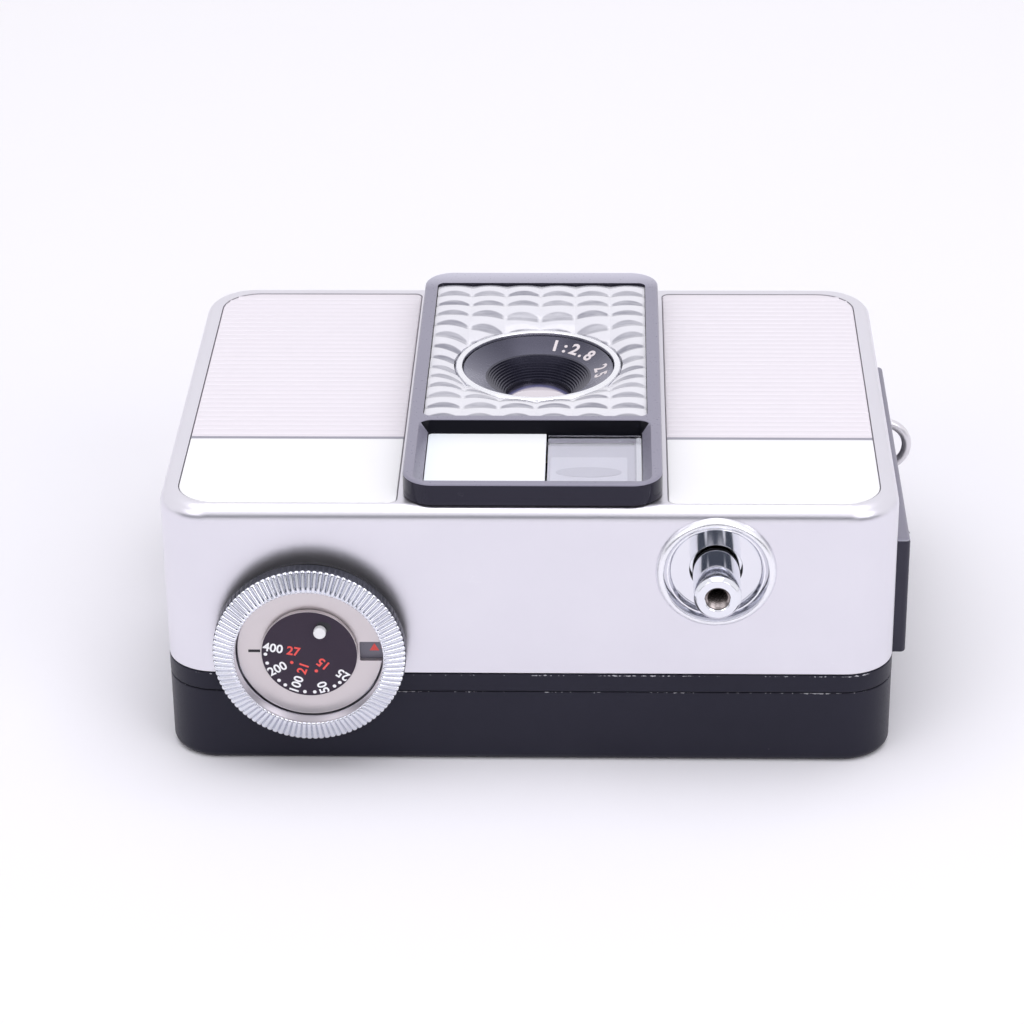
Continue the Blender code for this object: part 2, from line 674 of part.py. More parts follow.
def make_windows():
    """Frosted window, finder window, faceted cell lens and the selenium cell under it."""
    top = WINDOW_TOP - SEAT
    low = top - WINDOW_THICKNESS
    y_low = WINDOW_LOW_Y + SEAT
    y_high = WINDOW_HIGH_Y - SEAT
    corner = PANEL_INNER_CORNER
    block("frosted_window", (WINDOW_LEFT + SEAT, y_low, low), (WINDOW_SPLIT_X - SEAT, y_high, top), FROSTED,
          (corner, 0.0, 0.0, corner))
    block("finder_window", (WINDOW_SPLIT_X + SEAT, y_low, low), (WINDOW_RIGHT - SEAT, y_high, top), GLASS,
          (0.0, corner, corner, 0.0))
    lens_hole = TRIM_RING_RADIUS + FIT
    cell_lens = block("cell_lens", (CELL_LEFT + SEAT, CELL_LOW_Y + SEAT, BODY_DEPTH + SEAT),
                      (CELL_RIGHT - SEAT, CELL_HIGH_Y - SEAT, FRAME_TOP - CELL_LENS_DROP), GLASS, same(corner))
    hole(cell_lens, "cell_lens_hole", lens_hole, 0.0, FRAME_TOP, at(CENTRE_X, LENS_Y), FINE)
    rim = OPENING_RIM + FIT
    cell_low = BOARD_HIGH + SEAT
    cell = block("selenium_cell", (CELL_LEFT + rim, CELL_LOW_Y + rim, cell_low),
                 (CELL_RIGHT - rim, CELL_HIGH_Y - rim, cell_low + CELL_THICKNESS), SELENIUM)
    hole(cell, "cell_hole", lens_hole, 0.0, FRAME_TOP, at(CENTRE_X, LENS_Y), FINE)


def make_lens():
    """Trim ring, name ring, board, barrel, three elements and the rear cell."""
    axis = at(CENTRE_X, LENS_Y)
    bore = NAME_RING_RADIUS + SEAT
    turned("lens_trim_ring", [(TRIM_RING_RADIUS, NAME_RING_TOP), (TRIM_RING_RADIUS, NAME_RING_LOW),
                              (bore, NAME_RING_LOW), (bore, NAME_RING_TOP + FIT),
                              (TRIM_RING_RADIUS - FIT, NAME_RING_TOP + FIT)], CHROME, axis, FINE)
    mouth = GLASS_RADIUS + SEAT
    turned("lens_name_ring", [(CONE_RADIUS, NAME_RING_TOP - CONE_DROP), (NAME_RING_RADIUS, NAME_RING_TOP),
                              (NAME_RING_RADIUS, NAME_RING_LOW), (mouth, NAME_RING_LOW)],
           MATT_BLACK, axis, FINE)
    half = (LENS_BOARD_SIZE[0] / 2, LENS_BOARD_SIZE[1] / 2)
    board = block("lens_board", (CENTRE_X - half[0], LENS_Y - half[1] + FIT, BOARD_LOW),
                  (CENTRE_X + half[0], LENS_Y + half[1], BOARD_HIGH), BRASS)
    hole(board, "board_hole", BARREL_RADIUS + FIT, 0.0, FRAME_TOP, axis, FINE)
    ledge = BARREL_LOW + LEDGE_HEIGHT
    turned("lens_barrel", [(BARREL_RADIUS, BOARD_HIGH), (BARREL_RADIUS, BARREL_LOW), (STOP_RADIUS, BARREL_LOW),
                           (STOP_RADIUS, ledge), (mouth, ledge), (mouth, BOARD_HIGH)], MATT_BLACK, axis)
    lens("front_element", GLASS_RADIUS, ledge + SEAT, FRONT_LENS, axis)
    lens("middle_element", STOP_RADIUS - SEAT, BARREL_LOW + SEAT, MIDDLE_LENS, axis)
    turned("rear_cell", [(REAR_CELL_RADIUS, REAR_CELL_HIGH), (REAR_CELL_RADIUS, REAR_CELL_LOW),
                         (REAR_GLASS_RADIUS + SEAT, REAR_CELL_LOW), (REAR_GLASS_RADIUS + SEAT, REAR_CELL_HIGH)],
           MATT_BLACK, axis)
    lens("rear_element", REAR_GLASS_RADIUS, REAR_CELL_LOW + SEAT, REAR_LENS, axis)


def lens(name, radius, low, form, place, rings=3):
    """Make a lens with a flat back; its form is the edge's thickness and the front's bulge."""
    edge, bulge = form
    high = low + edge
    profile = [(radius * i / rings, high + bulge * (1 - (i / rings) ** 2)) for i in range(rings + 1)]
    turned(name, profile + [(radius, low), (0.0, low)], GLASS, place)


def make_shutter():
    """Shutter plate with two pivots, and two blades that swing apart."""
    x, y = BLADE_PIVOT
    base = plate("shutter_plate", [circle(SHUTTER_RADIUS, MEDIUM), circle(APERTURE_RADIUS, COARSE)],
                 SHUTTER_LOW, SHUTTER_HIGH, BRASS, at(CENTRE_X, LENS_Y))
    inside = SHUTTER_PLATE / 2
    for side, name in ((-1, "left_pivot"), (1, "right_pivot")):
        pin = disc(name, PIVOT_RADIUS, SHUTTER_HIGH - inside, BARREL_LOW - FIT, STEEL,
                   at(CENTRE_X + side * x, LENS_Y + y), COARSE)
        unite(base, pin)
    for side, name, low in ((-1, "shutter_blade_a", BLADE_A_LOW), (1, "shutter_blade_b", BLADE_B_LOW)):
        plate(name, [blade_outline(side), circle(PIVOT_RADIUS + SEAT, COARSE)], low, low + BLADE_THICKNESS,
              STEEL, at(CENTRE_X + side * x, LENS_Y + y))


def blade_outline(side):
    """Return a leaf that covers half the aperture, with an arm to its pivot at the origin."""
    x, y = BLADE_PIVOT
    steps = 6
    quarter = [math.pi * (1.0 + 0.5 * i / steps) for i in range(steps + 1)]
    leaf = [(BLADE_RADIUS * math.cos(a) + BLADE_OVERLAP, BLADE_RADIUS * math.sin(a)) for a in quarter]
    turn = [math.pi * (0.25 + i / steps) for i in range(steps + 1)]
    head = [(-x + BLADE_ARM * math.cos(a), y + BLADE_ARM * math.sin(a)) for a in turn]
    points = [(px + x, py - y) for px, py in leaf + [(BLADE_OVERLAP, BLADE_RADIUS)] + head]
    return [(-side * px, py) for px, py in points]


def make_finder():
    """Finder tube with its objective."""
    half = FINDER_SIZE[0] / 2
    low = FLANGE_LOW + FIT
    high = COVER_INNER_Z - 2 * FIT
    box = block("finder_tube", (FINDER_X - half, FINDER_LOW_Y, low), (FINDER_X + half, FINDER_HIGH_Y, high),
                MATT_BLACK)
    bore = (half - FINDER_WALL, FINDER_LOW_Y + FINDER_WALL, FINDER_HIGH_Y - FINDER_WALL)
    cut(box, block("finder_bore", (FINDER_X - bore[0], bore[1], 0.0),
                   (FINDER_X + bore[0], bore[2], BODY_DEPTH), BLACK))
    block("finder_objective", (FINDER_X - bore[0] + SEAT, bore[1] + SEAT, high - FINDER_LENS - FIT),
          (FINDER_X + bore[0] - SEAT, bore[2] - SEAT, high - FIT), GLASS, rim=FINDER_LENS_EDGE)


def make_meter():
    """Case of the meter movement and the needle on its pivot."""
    y = (BAY_LOW_Y + BAY_HIGH_Y) / 2
    place = at(METER_X, y)
    stem = PIVOT_RADIUS
    turned("meter_case", [(0.0, METER_HIGH_Z + NEEDLE_THICKNESS + 2 * FIT),
                          (stem, METER_HIGH_Z + NEEDLE_THICKNESS + 2 * FIT), (stem, METER_HIGH_Z),
                          (METER_RADIUS, METER_HIGH_Z), (METER_RADIUS, METER_LOW_Z), (0.0, METER_LOW_Z)],
           STEEL, place, COARSE)
    ring = stem + NEEDLE_WIDTH
    tail = math.asin(NEEDLE_WIDTH / 2 / ring)
    arc = [tail + (2 * math.pi - 2 * tail) * i / 12 for i in range(13)]
    outline = [(-ring * math.cos(a), ring * math.sin(a)) for a in arc]
    tip = [(-NEEDLE_LENGTH, -NEEDLE_WIDTH / 4), (-NEEDLE_LENGTH, NEEDLE_WIDTH / 4)]
    plate("meter_needle", [outline + tip, circle(stem + SEAT, COARSE)], METER_HIGH_Z + FIT,
          METER_HIGH_Z + FIT + NEEDLE_THICKNESS, MATT_BLACK, place)


def make_dial():
    """Knurled aperture ring with its hub, the fixed post and plate, and the film speed disc."""
    place = on_top(DIAL_X, DIAL_Z)
    inner = DIAL_RADIUS - DIAL_RING
    bore = DIAL_POST_RADIUS + SEAT * 2
    floor = DIAL_PLATE + FIT
    hub_end = -(HALF_HEIGHT + BAY_LOW_Y) - DIAL_HUB_REACH
    turned("aperture_ring", [(inner + FIT, DIAL_RISE), (DIAL_RADIUS - FIT, DIAL_RISE - 2 * FIT),
                             (DIAL_RADIUS, DIAL_RISE - 4 * FIT), (DIAL_RADIUS, DIAL_LIP),
                             (DIAL_RADIUS - DIAL_UNDERCUT, DIAL_LIP - FIT), (DIAL_RADIUS - DIAL_UNDERCUT, FIT),
                             (DIAL_HUB_RADIUS, FIT), (DIAL_HUB_RADIUS, hub_end), (bore, hub_end), (bore, floor),
                             (inner, floor), (inner, DIAL_RISE - FIT)], CHROME, place, FINE)
    post_top = floor + FIT
    post_end = -(HALF_HEIGHT + BAY_HIGH_Y) + SEAT
    disc("dial_post", DIAL_POST_RADIUS, post_end, post_top, STEEL, place, COARSE)
    cover_low = post_top + SEAT
    cover_high = cover_low + DIAL_PLATE
    cover = disc("dial_plate", inner - FIT, cover_low, cover_high, CHAMPAGNE, place, FINE)
    middle = (inner + SPEED_DISC_RADIUS) / 2
    cut(cover, block("dial_window", (middle - DIAL_WINDOW[0] / 2, -DIAL_WINDOW[1] / 2, 0.0),
                     (middle + DIAL_WINDOW[0] / 2, DIAL_WINDOW[1] / 2, DIAL_RISE), BLACK, place=place))
    low = cover_high + SEAT
    high = low + DIAL_PLATE
    turned("film_speed_disc", [(0.0, high), (SPEED_DISC_RADIUS - SEAT, high),
                               (SPEED_DISC_RADIUS, high - SEAT), (SPEED_DISC_RADIUS, low), (0.0, low)],
           GLOSS_BLACK, place)
    peg = place @ Matrix.Translation((*SPEED_PEG_PLACE, 0.0))
    disc("film_speed_peg", SPEED_PEG_RADIUS, high + SEAT, high + SPEED_PEG_HEIGHT, WHITE, peg, COARSE)


def make_release():
    """Dished collar, release button with its cable socket, and the return spring."""
    place = on_top(RELEASE_X, RELEASE_Z)
    throat = BUTTON_RADIUS + 1.5 * FIT
    dish = -2.5 * FIT
    under = dish - 2 * FIT
    wall = COLLAR_DISH_RADIUS + FIT
    turned("release_collar", [(wall, COLLAR_RISE), (COLLAR_RADIUS - FIT, COLLAR_RISE - SEAT - FIT / 2),
                              (COLLAR_RADIUS, SEAT), (wall, SEAT), (wall, under), (throat, under), (throat, dish),
                              (COLLAR_DISH_RADIUS, dish), (COLLAR_DISH_RADIUS, COLLAR_RISE - SEAT)],
           SILVER, place, FINE)
    flange_high = under - FIT
    flange_low = flange_high - 2 * FIT
    stem_low = flange_low - STEM_LENGTH
    turned("release_button", [(SOCKET_RADIUS, BUTTON_HEIGHT - FIT), (SOCKET_RADIUS + FIT, BUTTON_HEIGHT),
                              (BUTTON_RADIUS - FIT, BUTTON_HEIGHT), (BUTTON_RADIUS, BUTTON_HEIGHT - FIT),
                              (BUTTON_RADIUS, flange_high), (BUTTON_FLANGE, flange_high),
                              (BUTTON_FLANGE, flange_low), (STEM_RADIUS, flange_low), (STEM_RADIUS, stem_low),
                              (SOCKET_RADIUS / 2, stem_low), (SOCKET_RADIUS / 2, BUTTON_HEIGHT - SOCKET_DEPTH),
                              (SOCKET_RADIUS, BUTTON_HEIGHT - SOCKET_DEPTH)], CHROME, place)
    top = -HALF_HEIGHT - flange_low + SPRING_WIRE + SEAT
    end = BAY_HIGH_Y - SPRING_WIRE - SEAT
    steps = 10 * SPRING_TURNS
    points = []
    for i in range(steps + 1):
        angle = 2 * math.pi * SPRING_TURNS * i / steps
        points.append((RELEASE_X + SPRING_RADIUS * math.cos(angle), top + (end - top) * i / steps,
                       RELEASE_Z + SPRING_RADIUS * math.sin(angle)))
    tube("release_spring", points, SPRING_WIRE, STEEL, 0)


def make_side_plate():
    """Hinge plate with its fixed knuckles, the pin, the strap eye and two screws."""
    half = PLATE_LENGTH / 2
    inner = HALF_WIDTH + SEAT
    side = block("hinge_plate", (inner, -half, HINGE_Z), (PLATE_FACE, half, PLATE_FRONT_Z), BLACK,
                 rim=PLATE_CORNER)
    unite(side, disc("fixed_knuckles", KNUCKLE_RADIUS, -half, half, BLACK, along_y(HINGE_X, HINGE_Z), COARSE))
    gap = KNUCKLE_HALF_LENGTH + FIT
    cut(side, block("knuckle_gap", (HALF_WIDTH - OVERCUT, -gap, 0.0),
                    (PLATE_FACE + OVERCUT, gap, HINGE_Z + KNUCKLE_CLEARANCE), BLACK))
    hole(side, "plate_pin_hole", HINGE_PIN_RADIUS + SEAT, -half - OVERCUT, half + OVERCUT,
         along_y(HINGE_X, HINGE_Z), COARSE)
    disc("hinge_pin", HINGE_PIN_RADIUS, -half, half, STEEL, along_y(HINGE_X, HINGE_Z), COARSE)
    face = PLATE_FACE + SEAT
    bend = EYE_REACH - EYE_HALF_WIDTH
    arc = [math.pi * (i / 10 - 0.5) for i in range(11)]
    loop = [(face + bend + EYE_HALF_WIDTH * math.cos(a), EYE_Y, EYE_Z + EYE_HALF_WIDTH * math.sin(a))
            for a in arc]
    ends = [(face, EYE_Y, EYE_Z - EYE_HALF_WIDTH), (face, EYE_Y, EYE_Z + EYE_HALF_WIDTH)]
    tube("strap_eye", [ends[0]] + loop + [ends[1]], EYE_WIRE, STEEL)
    for name, y in (("plate_screw_1", -PLATE_SCREW_SPREAD), ("plate_screw_2", PLATE_SCREW_SPREAD)):
        spot = at(face, y, PLATE_FRONT_Z - PLATE_SCREW_DROP)
        screw(name, spot @ Matrix.Rotation(math.pi / 2, 4, "Y"))


def screw(name, place):
    """Make the slotted head of a small screw."""
    head = turned(name, [(0.0, SCREW_HEAD), (SCREW_RADIUS - SEAT, SCREW_HEAD),
                         (SCREW_RADIUS, SCREW_HEAD - SEAT), (SCREW_RADIUS, 0.0), (0.0, 0.0)],
                  CHROME, place, COARSE)
    cut(head, block(name + "_slot", (-2 * SCREW_RADIUS, -SCREW_SLOT / 2, SCREW_HEAD / 2),
                    (2 * SCREW_RADIUS, SCREW_SLOT / 2, 2 * SCREW_HEAD), BLACK, place=place))


def make_door():
    """Back door tray, its knuckle, eyepiece, pressure plate and spring, and the sliding latch."""
    origin = at(HINGE_X, 0.0, HINGE_Z)
    away = origin.inverted()
    door = block("back_door", (-HALF_WIDTH, -HALF_HEIGHT, 0.0), (HALF_WIDTH, HALF_HEIGHT, DOOR_DEPTH), BLACK,
                 same(CORNER_RADIUS), rim_low=DOOR_EDGE_RADIUS, segments=6)
    door.data.transform(away)
    door.matrix_world = origin
    inner = (HALF_WIDTH - DOOR_WALL, HALF_HEIGHT - DOOR_WALL)
    cut(door, block("door_hollow", (-inner[0], -inner[1], DOOR_WALL), (*inner, DOOR_DEPTH + OVERCUT), BLACK,
                    same(CORNER_RADIUS - DOOR_WALL), segments=6))
    reach = KNUCKLE_HALF_LENGTH
    pad_x = HALF_WIDTH + SEAT
    pad = block("door_pad", (HALF_WIDTH - DOOR_WALL / 2, -reach, DOOR_DEPTH - DOOR_PAD_DEPTH),
                (PLATE_FACE, reach, DOOR_DEPTH), BLACK)
    web = block("door_web", (pad_x, -reach, DOOR_DEPTH - DOOR_PAD_DEPTH / 2), (PLATE_FACE, reach, HINGE_Z),
                BLACK)
    knuckle = disc("door_knuckle", KNUCKLE_RADIUS, -reach, reach, BLACK, along_y(HINGE_X, HINGE_Z), COARSE)
    unite(door, pad, web, knuckle)
    hole(door, "door_pin_hole", HINGE_PIN_RADIUS + SEAT, -reach - OVERCUT, reach + OVERCUT,
         along_y(HINGE_X, HINGE_Z), COARSE)
    make_eyepiece(door)
    make_pressure_plate()
    make_latch(door)


def make_eyepiece(door):
    """Eyepiece frame in the door and its glass."""
    y = (FINDER_LOW_Y + FINDER_HIGH_Y) / 2
    half = (EYEPIECE_SIZE[0] / 2, EYEPIECE_SIZE[1] / 2)

    def around(grow, low, high, name, material):
        """Return a rounded block that is larger than the glass by grow on each side."""
        return block(name, (FINDER_X - half[0] - grow, y - half[1] - grow, low),
                     (FINDER_X + half[0] + grow, y + half[1] + grow, high), material,
                     same(EYEPIECE_CORNER + grow))

    cut(door, around(EYEPIECE_RIM + SEAT, -OVERCUT, DOOR_WALL + OVERCUT, "eyepiece_opening", BLACK))
    frame = around(EYEPIECE_RIM, SEAT, DOOR_WALL + FIT, "eyepiece_frame", MATT_BLACK)
    cut(frame, around(SEAT, -OVERCUT, OVERCUT, "eyepiece_bore", BLACK))
    around(0.0, 2 * FIT, DOOR_WALL, "eyepiece_glass", GLASS)


def make_pressure_plate():
    """Film pressure plate and the bowed leaf spring under it."""
    high = FILM_PLANE - FIT
    low = high - PRESSURE_PLATE_THICKNESS
    middle = (GATE_LEFT + GATE_RIGHT) / 2
    block("pressure_plate", (GATE_LEFT + 2 * FIT, LENS_Y - PRESSURE_PLATE_HEIGHT / 2, low),
          (GATE_RIGHT - 2 * FIT, LENS_Y + PRESSURE_PLATE_HEIGHT / 2, high), MATT_BLACK, same(EYEPIECE_CORNER))
    foot = DOOR_WALL + PRESSURE_SPRING_STRIP / 2 + SEAT
    crown = low - PRESSURE_SPRING_STRIP / 2 - SEAT
    count = 16
    points = []
    for i in range(count + 1):
        part = 2 * i / count - 1
        points.append((middle + part * PRESSURE_SPRING_SPAN / 2,
                       foot + (crown - foot) * (1 + math.cos(math.pi * part)) / 2))
    half = PRESSURE_SPRING_WIDTH / 2
    ribbon("pressure_spring", points, LENS_Y - half, LENS_Y + half, PRESSURE_SPRING_STRIP, STEEL)


def make_latch(door):
    """Thumb latch that slides along a slot in the side wall of the door."""
    outside = -HALF_WIDTH - FIT / 2
    inside = -HALF_WIDTH + DOOR_WALL + FIT / 2
    half = LATCH_LENGTH / 2
    stem = LATCH_STEM[0] / 2
    rise = LATCH_STEM[1] / 2
    thumb = LATCH_HEIGHT / 2
    grip = LATCH_HOOK_HEIGHT / 2
    latch = block("door_latch", (outside - LATCH_THICKNESS, LATCH_Y - half, LATCH_Z - thumb),
                  (outside, LATCH_Y + half, LATCH_Z + thumb), CHROME)
    bridge = block("latch_stem", (outside - LATCH_THICKNESS / 2, LATCH_Y - stem, LATCH_Z - rise),
                   (inside + LATCH_THICKNESS / 2, LATCH_Y + stem, LATCH_Z + rise), CHROME)
    hook = block("latch_hook", (inside, LATCH_Y - half, LATCH_Z - grip),
                 (inside + LATCH_THICKNESS, LATCH_Y + half, LATCH_Z + grip), CHROME)
    unite(latch, bridge, hook)
    cut(door, block("latch_slot", (-HALF_WIDTH - OVERCUT, LATCH_Y - stem - FIT, LATCH_Z - rise - FIT),
                    (inside, LATCH_Y + stem + FIT + LATCH_TRAVEL, LATCH_Z + rise + FIT), BLACK))


def make_chassis():
    """Black die casting with its flange, film gate, chambers, bays and holes."""
    chassis = block("chassis", (-HALF_WIDTH, -HALF_HEIGHT, FLANGE_LOW), (HALF_WIDTH, HALF_HEIGHT, FLANGE_HIGH),
                    BLACK, same(CORNER_RADIUS), segments=6)
    unite(chassis, block("chassis_core", (-CHASSIS_X, -CHASSIS_Y, FLANGE_LOW + SEAT),
                         (CHASSIS_X, CHASSIS_Y, CHASSIS_HIGH), BLACK, same(CORNER_RADIUS - COVER_WALL),
                         segments=6))
    gate_half = GATE_HEIGHT / 2
    unite(chassis, block("film_gate", (GATE_LEFT, LENS_Y - gate_half, FILM_PLANE + FIT),
                         (GATE_RIGHT, LENS_Y + gate_half, FLANGE_HIGH), BLACK))
    rail = FILM_APERTURE[1] / 2 + RAIL_OFFSET
    for side, name in ((-1, "top_rail"), (1, "base_rail")):
        edges = sorted((LENS_Y + side * rail, LENS_Y + side * (rail + RAIL_WIDTH)))
        unite(chassis, block(name, (GATE_LEFT, edges[0], FILM_PLANE),
                             (GATE_RIGHT, edges[1], FLANGE_HIGH), BLACK))
    cut_chambers(chassis)
    cut_light_path(chassis)
    cut_bays(chassis)
    cut_base_holes(chassis)


def cut_chambers(chassis):
    """Cassette chamber on the left, drum and sprocket chambers on the right."""
    below = FILM_PLANE - OVERCUT / 2
    cut(chassis, block("cassette_mouth", (-HALF_WIDTH + FLANGE_RIM, CHAMBER_LOW_Y, below),
                       (GATE_LEFT, CHAMBER_HIGH_Y, BODY_DEPTH), BLACK))
    cut(chassis, block("cassette_room", (-HALF_WIDTH - OVERCUT, CHAMBER_LOW_Y, FLANGE_HIGH + SEAT),
                       (GATE_LEFT, CHAMBER_HIGH_Y, BODY_DEPTH), BLACK))
    drum_reach = GEAR_MODULE * (DRUM_TEETH / 2 + 1) + FIT
    cut(chassis, block("drum_room", (DRUM_X - drum_reach, DRIVE_LOW_Y, below),
                       (CHASSIS_X - CHASSIS_WALL, CHAMBER_HIGH_Y, DRUM_Z + drum_reach), BLACK))
    wheel_reach = SPROCKET_RADIUS + SPROCKET_TOOTH + FIT
    cut(chassis, block("sprocket_room", (SPROCKET_BAY_LEFT, DRIVE_LOW_Y, below),
                       (DRUM_X, CHAMBER_HIGH_Y, SPROCKET_Z + wheel_reach), BLACK))
    gear_reach = GEAR_MODULE * (SPROCKET_TEETH_GEAR / 2 + 1) + FIT
    cut(chassis, block("gear_room", (GEAR_BAY_LEFT, DRIVE_LOW_Y, below),
                       (DRUM_X, DRUM_LOW_Y, SPROCKET_Z + gear_reach), BLACK))


def cut_light_path(chassis):
    """Tapered light tunnel, the pockets of the lens and shutter, and the finder tunnel."""
    axis = at(CENTRE_X, LENS_Y)
    half = (FILM_APERTURE[0] / 2, FILM_APERTURE[1] / 2)
    tunnel = block("light_tunnel", (CENTRE_X - half[0], LENS_Y - half[1], FILM_PLANE - SEAT),
                   (CENTRE_X + half[0], LENS_Y + half[1], REAR_CELL_LOW), BLACK)
    for vert in tunnel.data.vertices:
        if vert.co.z > FILM_PLANE:
            vert.co.x = CENTRE_X + math.copysign(TUNNEL_NECK, vert.co.x - CENTRE_X)
            vert.co.y = LENS_Y + math.copysign(TUNNEL_NECK, vert.co.y - LENS_Y)
    cut(chassis, tunnel)
    hole(chassis, "rear_cell_pocket", REAR_CELL_RADIUS + FIT, REAR_CELL_LOW - FIT, BODY_DEPTH, axis)
    hole(chassis, "shutter_pocket", SHUTTER_RADIUS + FIT, SHUTTER_LOW - SEAT, BODY_DEPTH, axis)
    side = FINDER_SIZE[0] / 2 + FIT
    cut(chassis, block("finder_tunnel", (FINDER_X - side, FINDER_LOW_Y - FIT, 0.0),
                       (FINDER_X + side, FINDER_HIGH_Y + FIT, BODY_DEPTH), BLACK))


def cut_bays(chassis):
    """Bays of the dial and meter and of the release, with the holes to the top face."""
    wall = CHASSIS_X - CHASSIS_WALL
    finder_side = FINDER_SIZE[0] / 2 + FIT + CHASSIS_WALL
    cut(chassis, block("meter_bay", (-wall, BAY_LOW_Y, BAY_LOW_Z),
                       (FINDER_X - finder_side, BAY_HIGH_Y, BODY_DEPTH), BLACK))
    cut(chassis, block("release_bay", (FINDER_X + finder_side, BAY_LOW_Y, BAY_LOW_Z),
                       (wall, BAY_HIGH_Y, BODY_DEPTH), BLACK))
    depth = HALF_HEIGHT + BAY_LOW_Y + FIT
    hole(chassis, "hub_hole", DIAL_HUB_RADIUS + FIT, -depth, 0.0, on_top(DIAL_X, DIAL_Z), COARSE)
    hole(chassis, "release_hole", COLLAR_DISH_RADIUS + 2 * FIT, -depth, 0.0, on_top(RELEASE_X, RELEASE_Z),
         COARSE)


def cut_base_holes(chassis):
    """Holes for the shafts, the tripod bush, the rewind button and the counter."""
    inside = CHAMBER_HIGH_Y - OVERCUT / 5
    for name, x, z in (("wind_bearing", DRUM_X, DRUM_Z), ("rewind_bearing", CASSETTE_X, CASSETTE_Z)):
        hole(chassis, name, SHAFT_RADIUS + FIT, inside, HALF_HEIGHT, along_y(x, z), COARSE)
    hole(chassis, "tripod_seat", TRIPOD_BODY_RADIUS + FIT, HALF_HEIGHT - TRIPOD_DEPTH - FIT, HALF_HEIGHT,
         along_y(0.0, TRIPOD_Z), COARSE)
    hole(chassis, "rewind_button_bore", REWIND_BUTTON_RADIUS + FIT,
         HALF_HEIGHT - REWIND_BUTTON_DEPTH - REWIND_BUTTON_TRAVEL - FIT, HALF_HEIGHT,
         along_y(REWIND_BUTTON_X, TRIPOD_Z), COARSE)
    hole(chassis, "counter_pocket", COUNTER_RADIUS + FIT, CHASSIS_Y - COUNTER_DEPTH, HALF_HEIGHT,
         along_y(COUNTER_X, COUNTER_Z))


def make_drive():
    """Spring drum with its gear and mainspring, the winding knob, and the sprocket with its gear."""
    drum_axis = along_y(DRUM_X, DRUM_Z)
    bore = SHAFT_RADIUS + FIT
    core = DRUM_RADIUS - DRUM_WALL
    drum = turned("takeup_drum", [(DRUM_RADIUS, DRUM_HIGH_Y), (DRUM_RADIUS, DRUM_LOW_Y), (bore, DRUM_LOW_Y),
                                  (bore, DRUM_LOW_Y + DRUM_WALL), (core, DRUM_LOW_Y + DRUM_WALL),
                                  (core, DRUM_HIGH_Y - DRUM_WALL), (bore, DRUM_HIGH_Y - DRUM_WALL),
                                  (bore, DRUM_HIGH_Y)], MATT_BLACK, drum_axis)
    drum_middle = (DRUM_LOW_Y + DRUM_HIGH_Y) / 2
    slot = (FILM_SLOT[0] / 2, FILM_SLOT[1] / 2)
    cut(drum, block("film_slot", (DRUM_X - slot[0], drum_middle - slot[1], 0.0),
                    (DRUM_X + slot[0], drum_middle + slot[1], DRUM_Z - core + FIT), BLACK))
    towards = math.atan2(DRUM_Z - SPROCKET_Z, SPROCKET_X - DRUM_X)
    plate("drum_gear", [gear_outline(DRUM_TEETH, towards), circle(bore, COARSE)], GEAR_LOW_Y,
          GEAR_LOW_Y + GEAR_WIDTH, BRASS, drum_axis)
    steps = 12 * MAINSPRING_TURNS
    inner = SHAFT_RADIUS + 3 * FIT
    outer = core - 2 * FIT
    points = []
    for i in range(steps + 1):
        radius = inner + (outer - inner) * i / steps
        angle = 2 * math.pi * MAINSPRING_TURNS * i / steps
        points.append((DRUM_X + radius * math.cos(angle), DRUM_Z + radius * math.sin(angle)))
    ribbon("mainspring", points, DRUM_LOW_Y + DRUM_WALL + FIT, DRUM_HIGH_Y - DRUM_WALL - FIT,
           MAINSPRING_STRIP, STEEL)
    knob_low = HALF_HEIGHT + FIT
    knob_high = knob_low + KNOB_HEIGHT
    turned("wind_knob", [(0.0, knob_high - KNOB_EDGE), (KNOB_DISH_RADIUS, knob_high - KNOB_EDGE),
                         (KNOB_DISH_RADIUS + KNOB_EDGE, knob_high), (KNOB_RADIUS - KNOB_EDGE, knob_high),
                         (KNOB_RADIUS, knob_high - KNOB_EDGE), (KNOB_RADIUS, knob_low), (SHAFT_RADIUS, knob_low),
                         (SHAFT_RADIUS, DRIVE_LOW_Y + FIT), (0.0, DRIVE_LOW_Y + FIT)], CHROME, drum_axis, FINE)
    make_sprocket(towards)


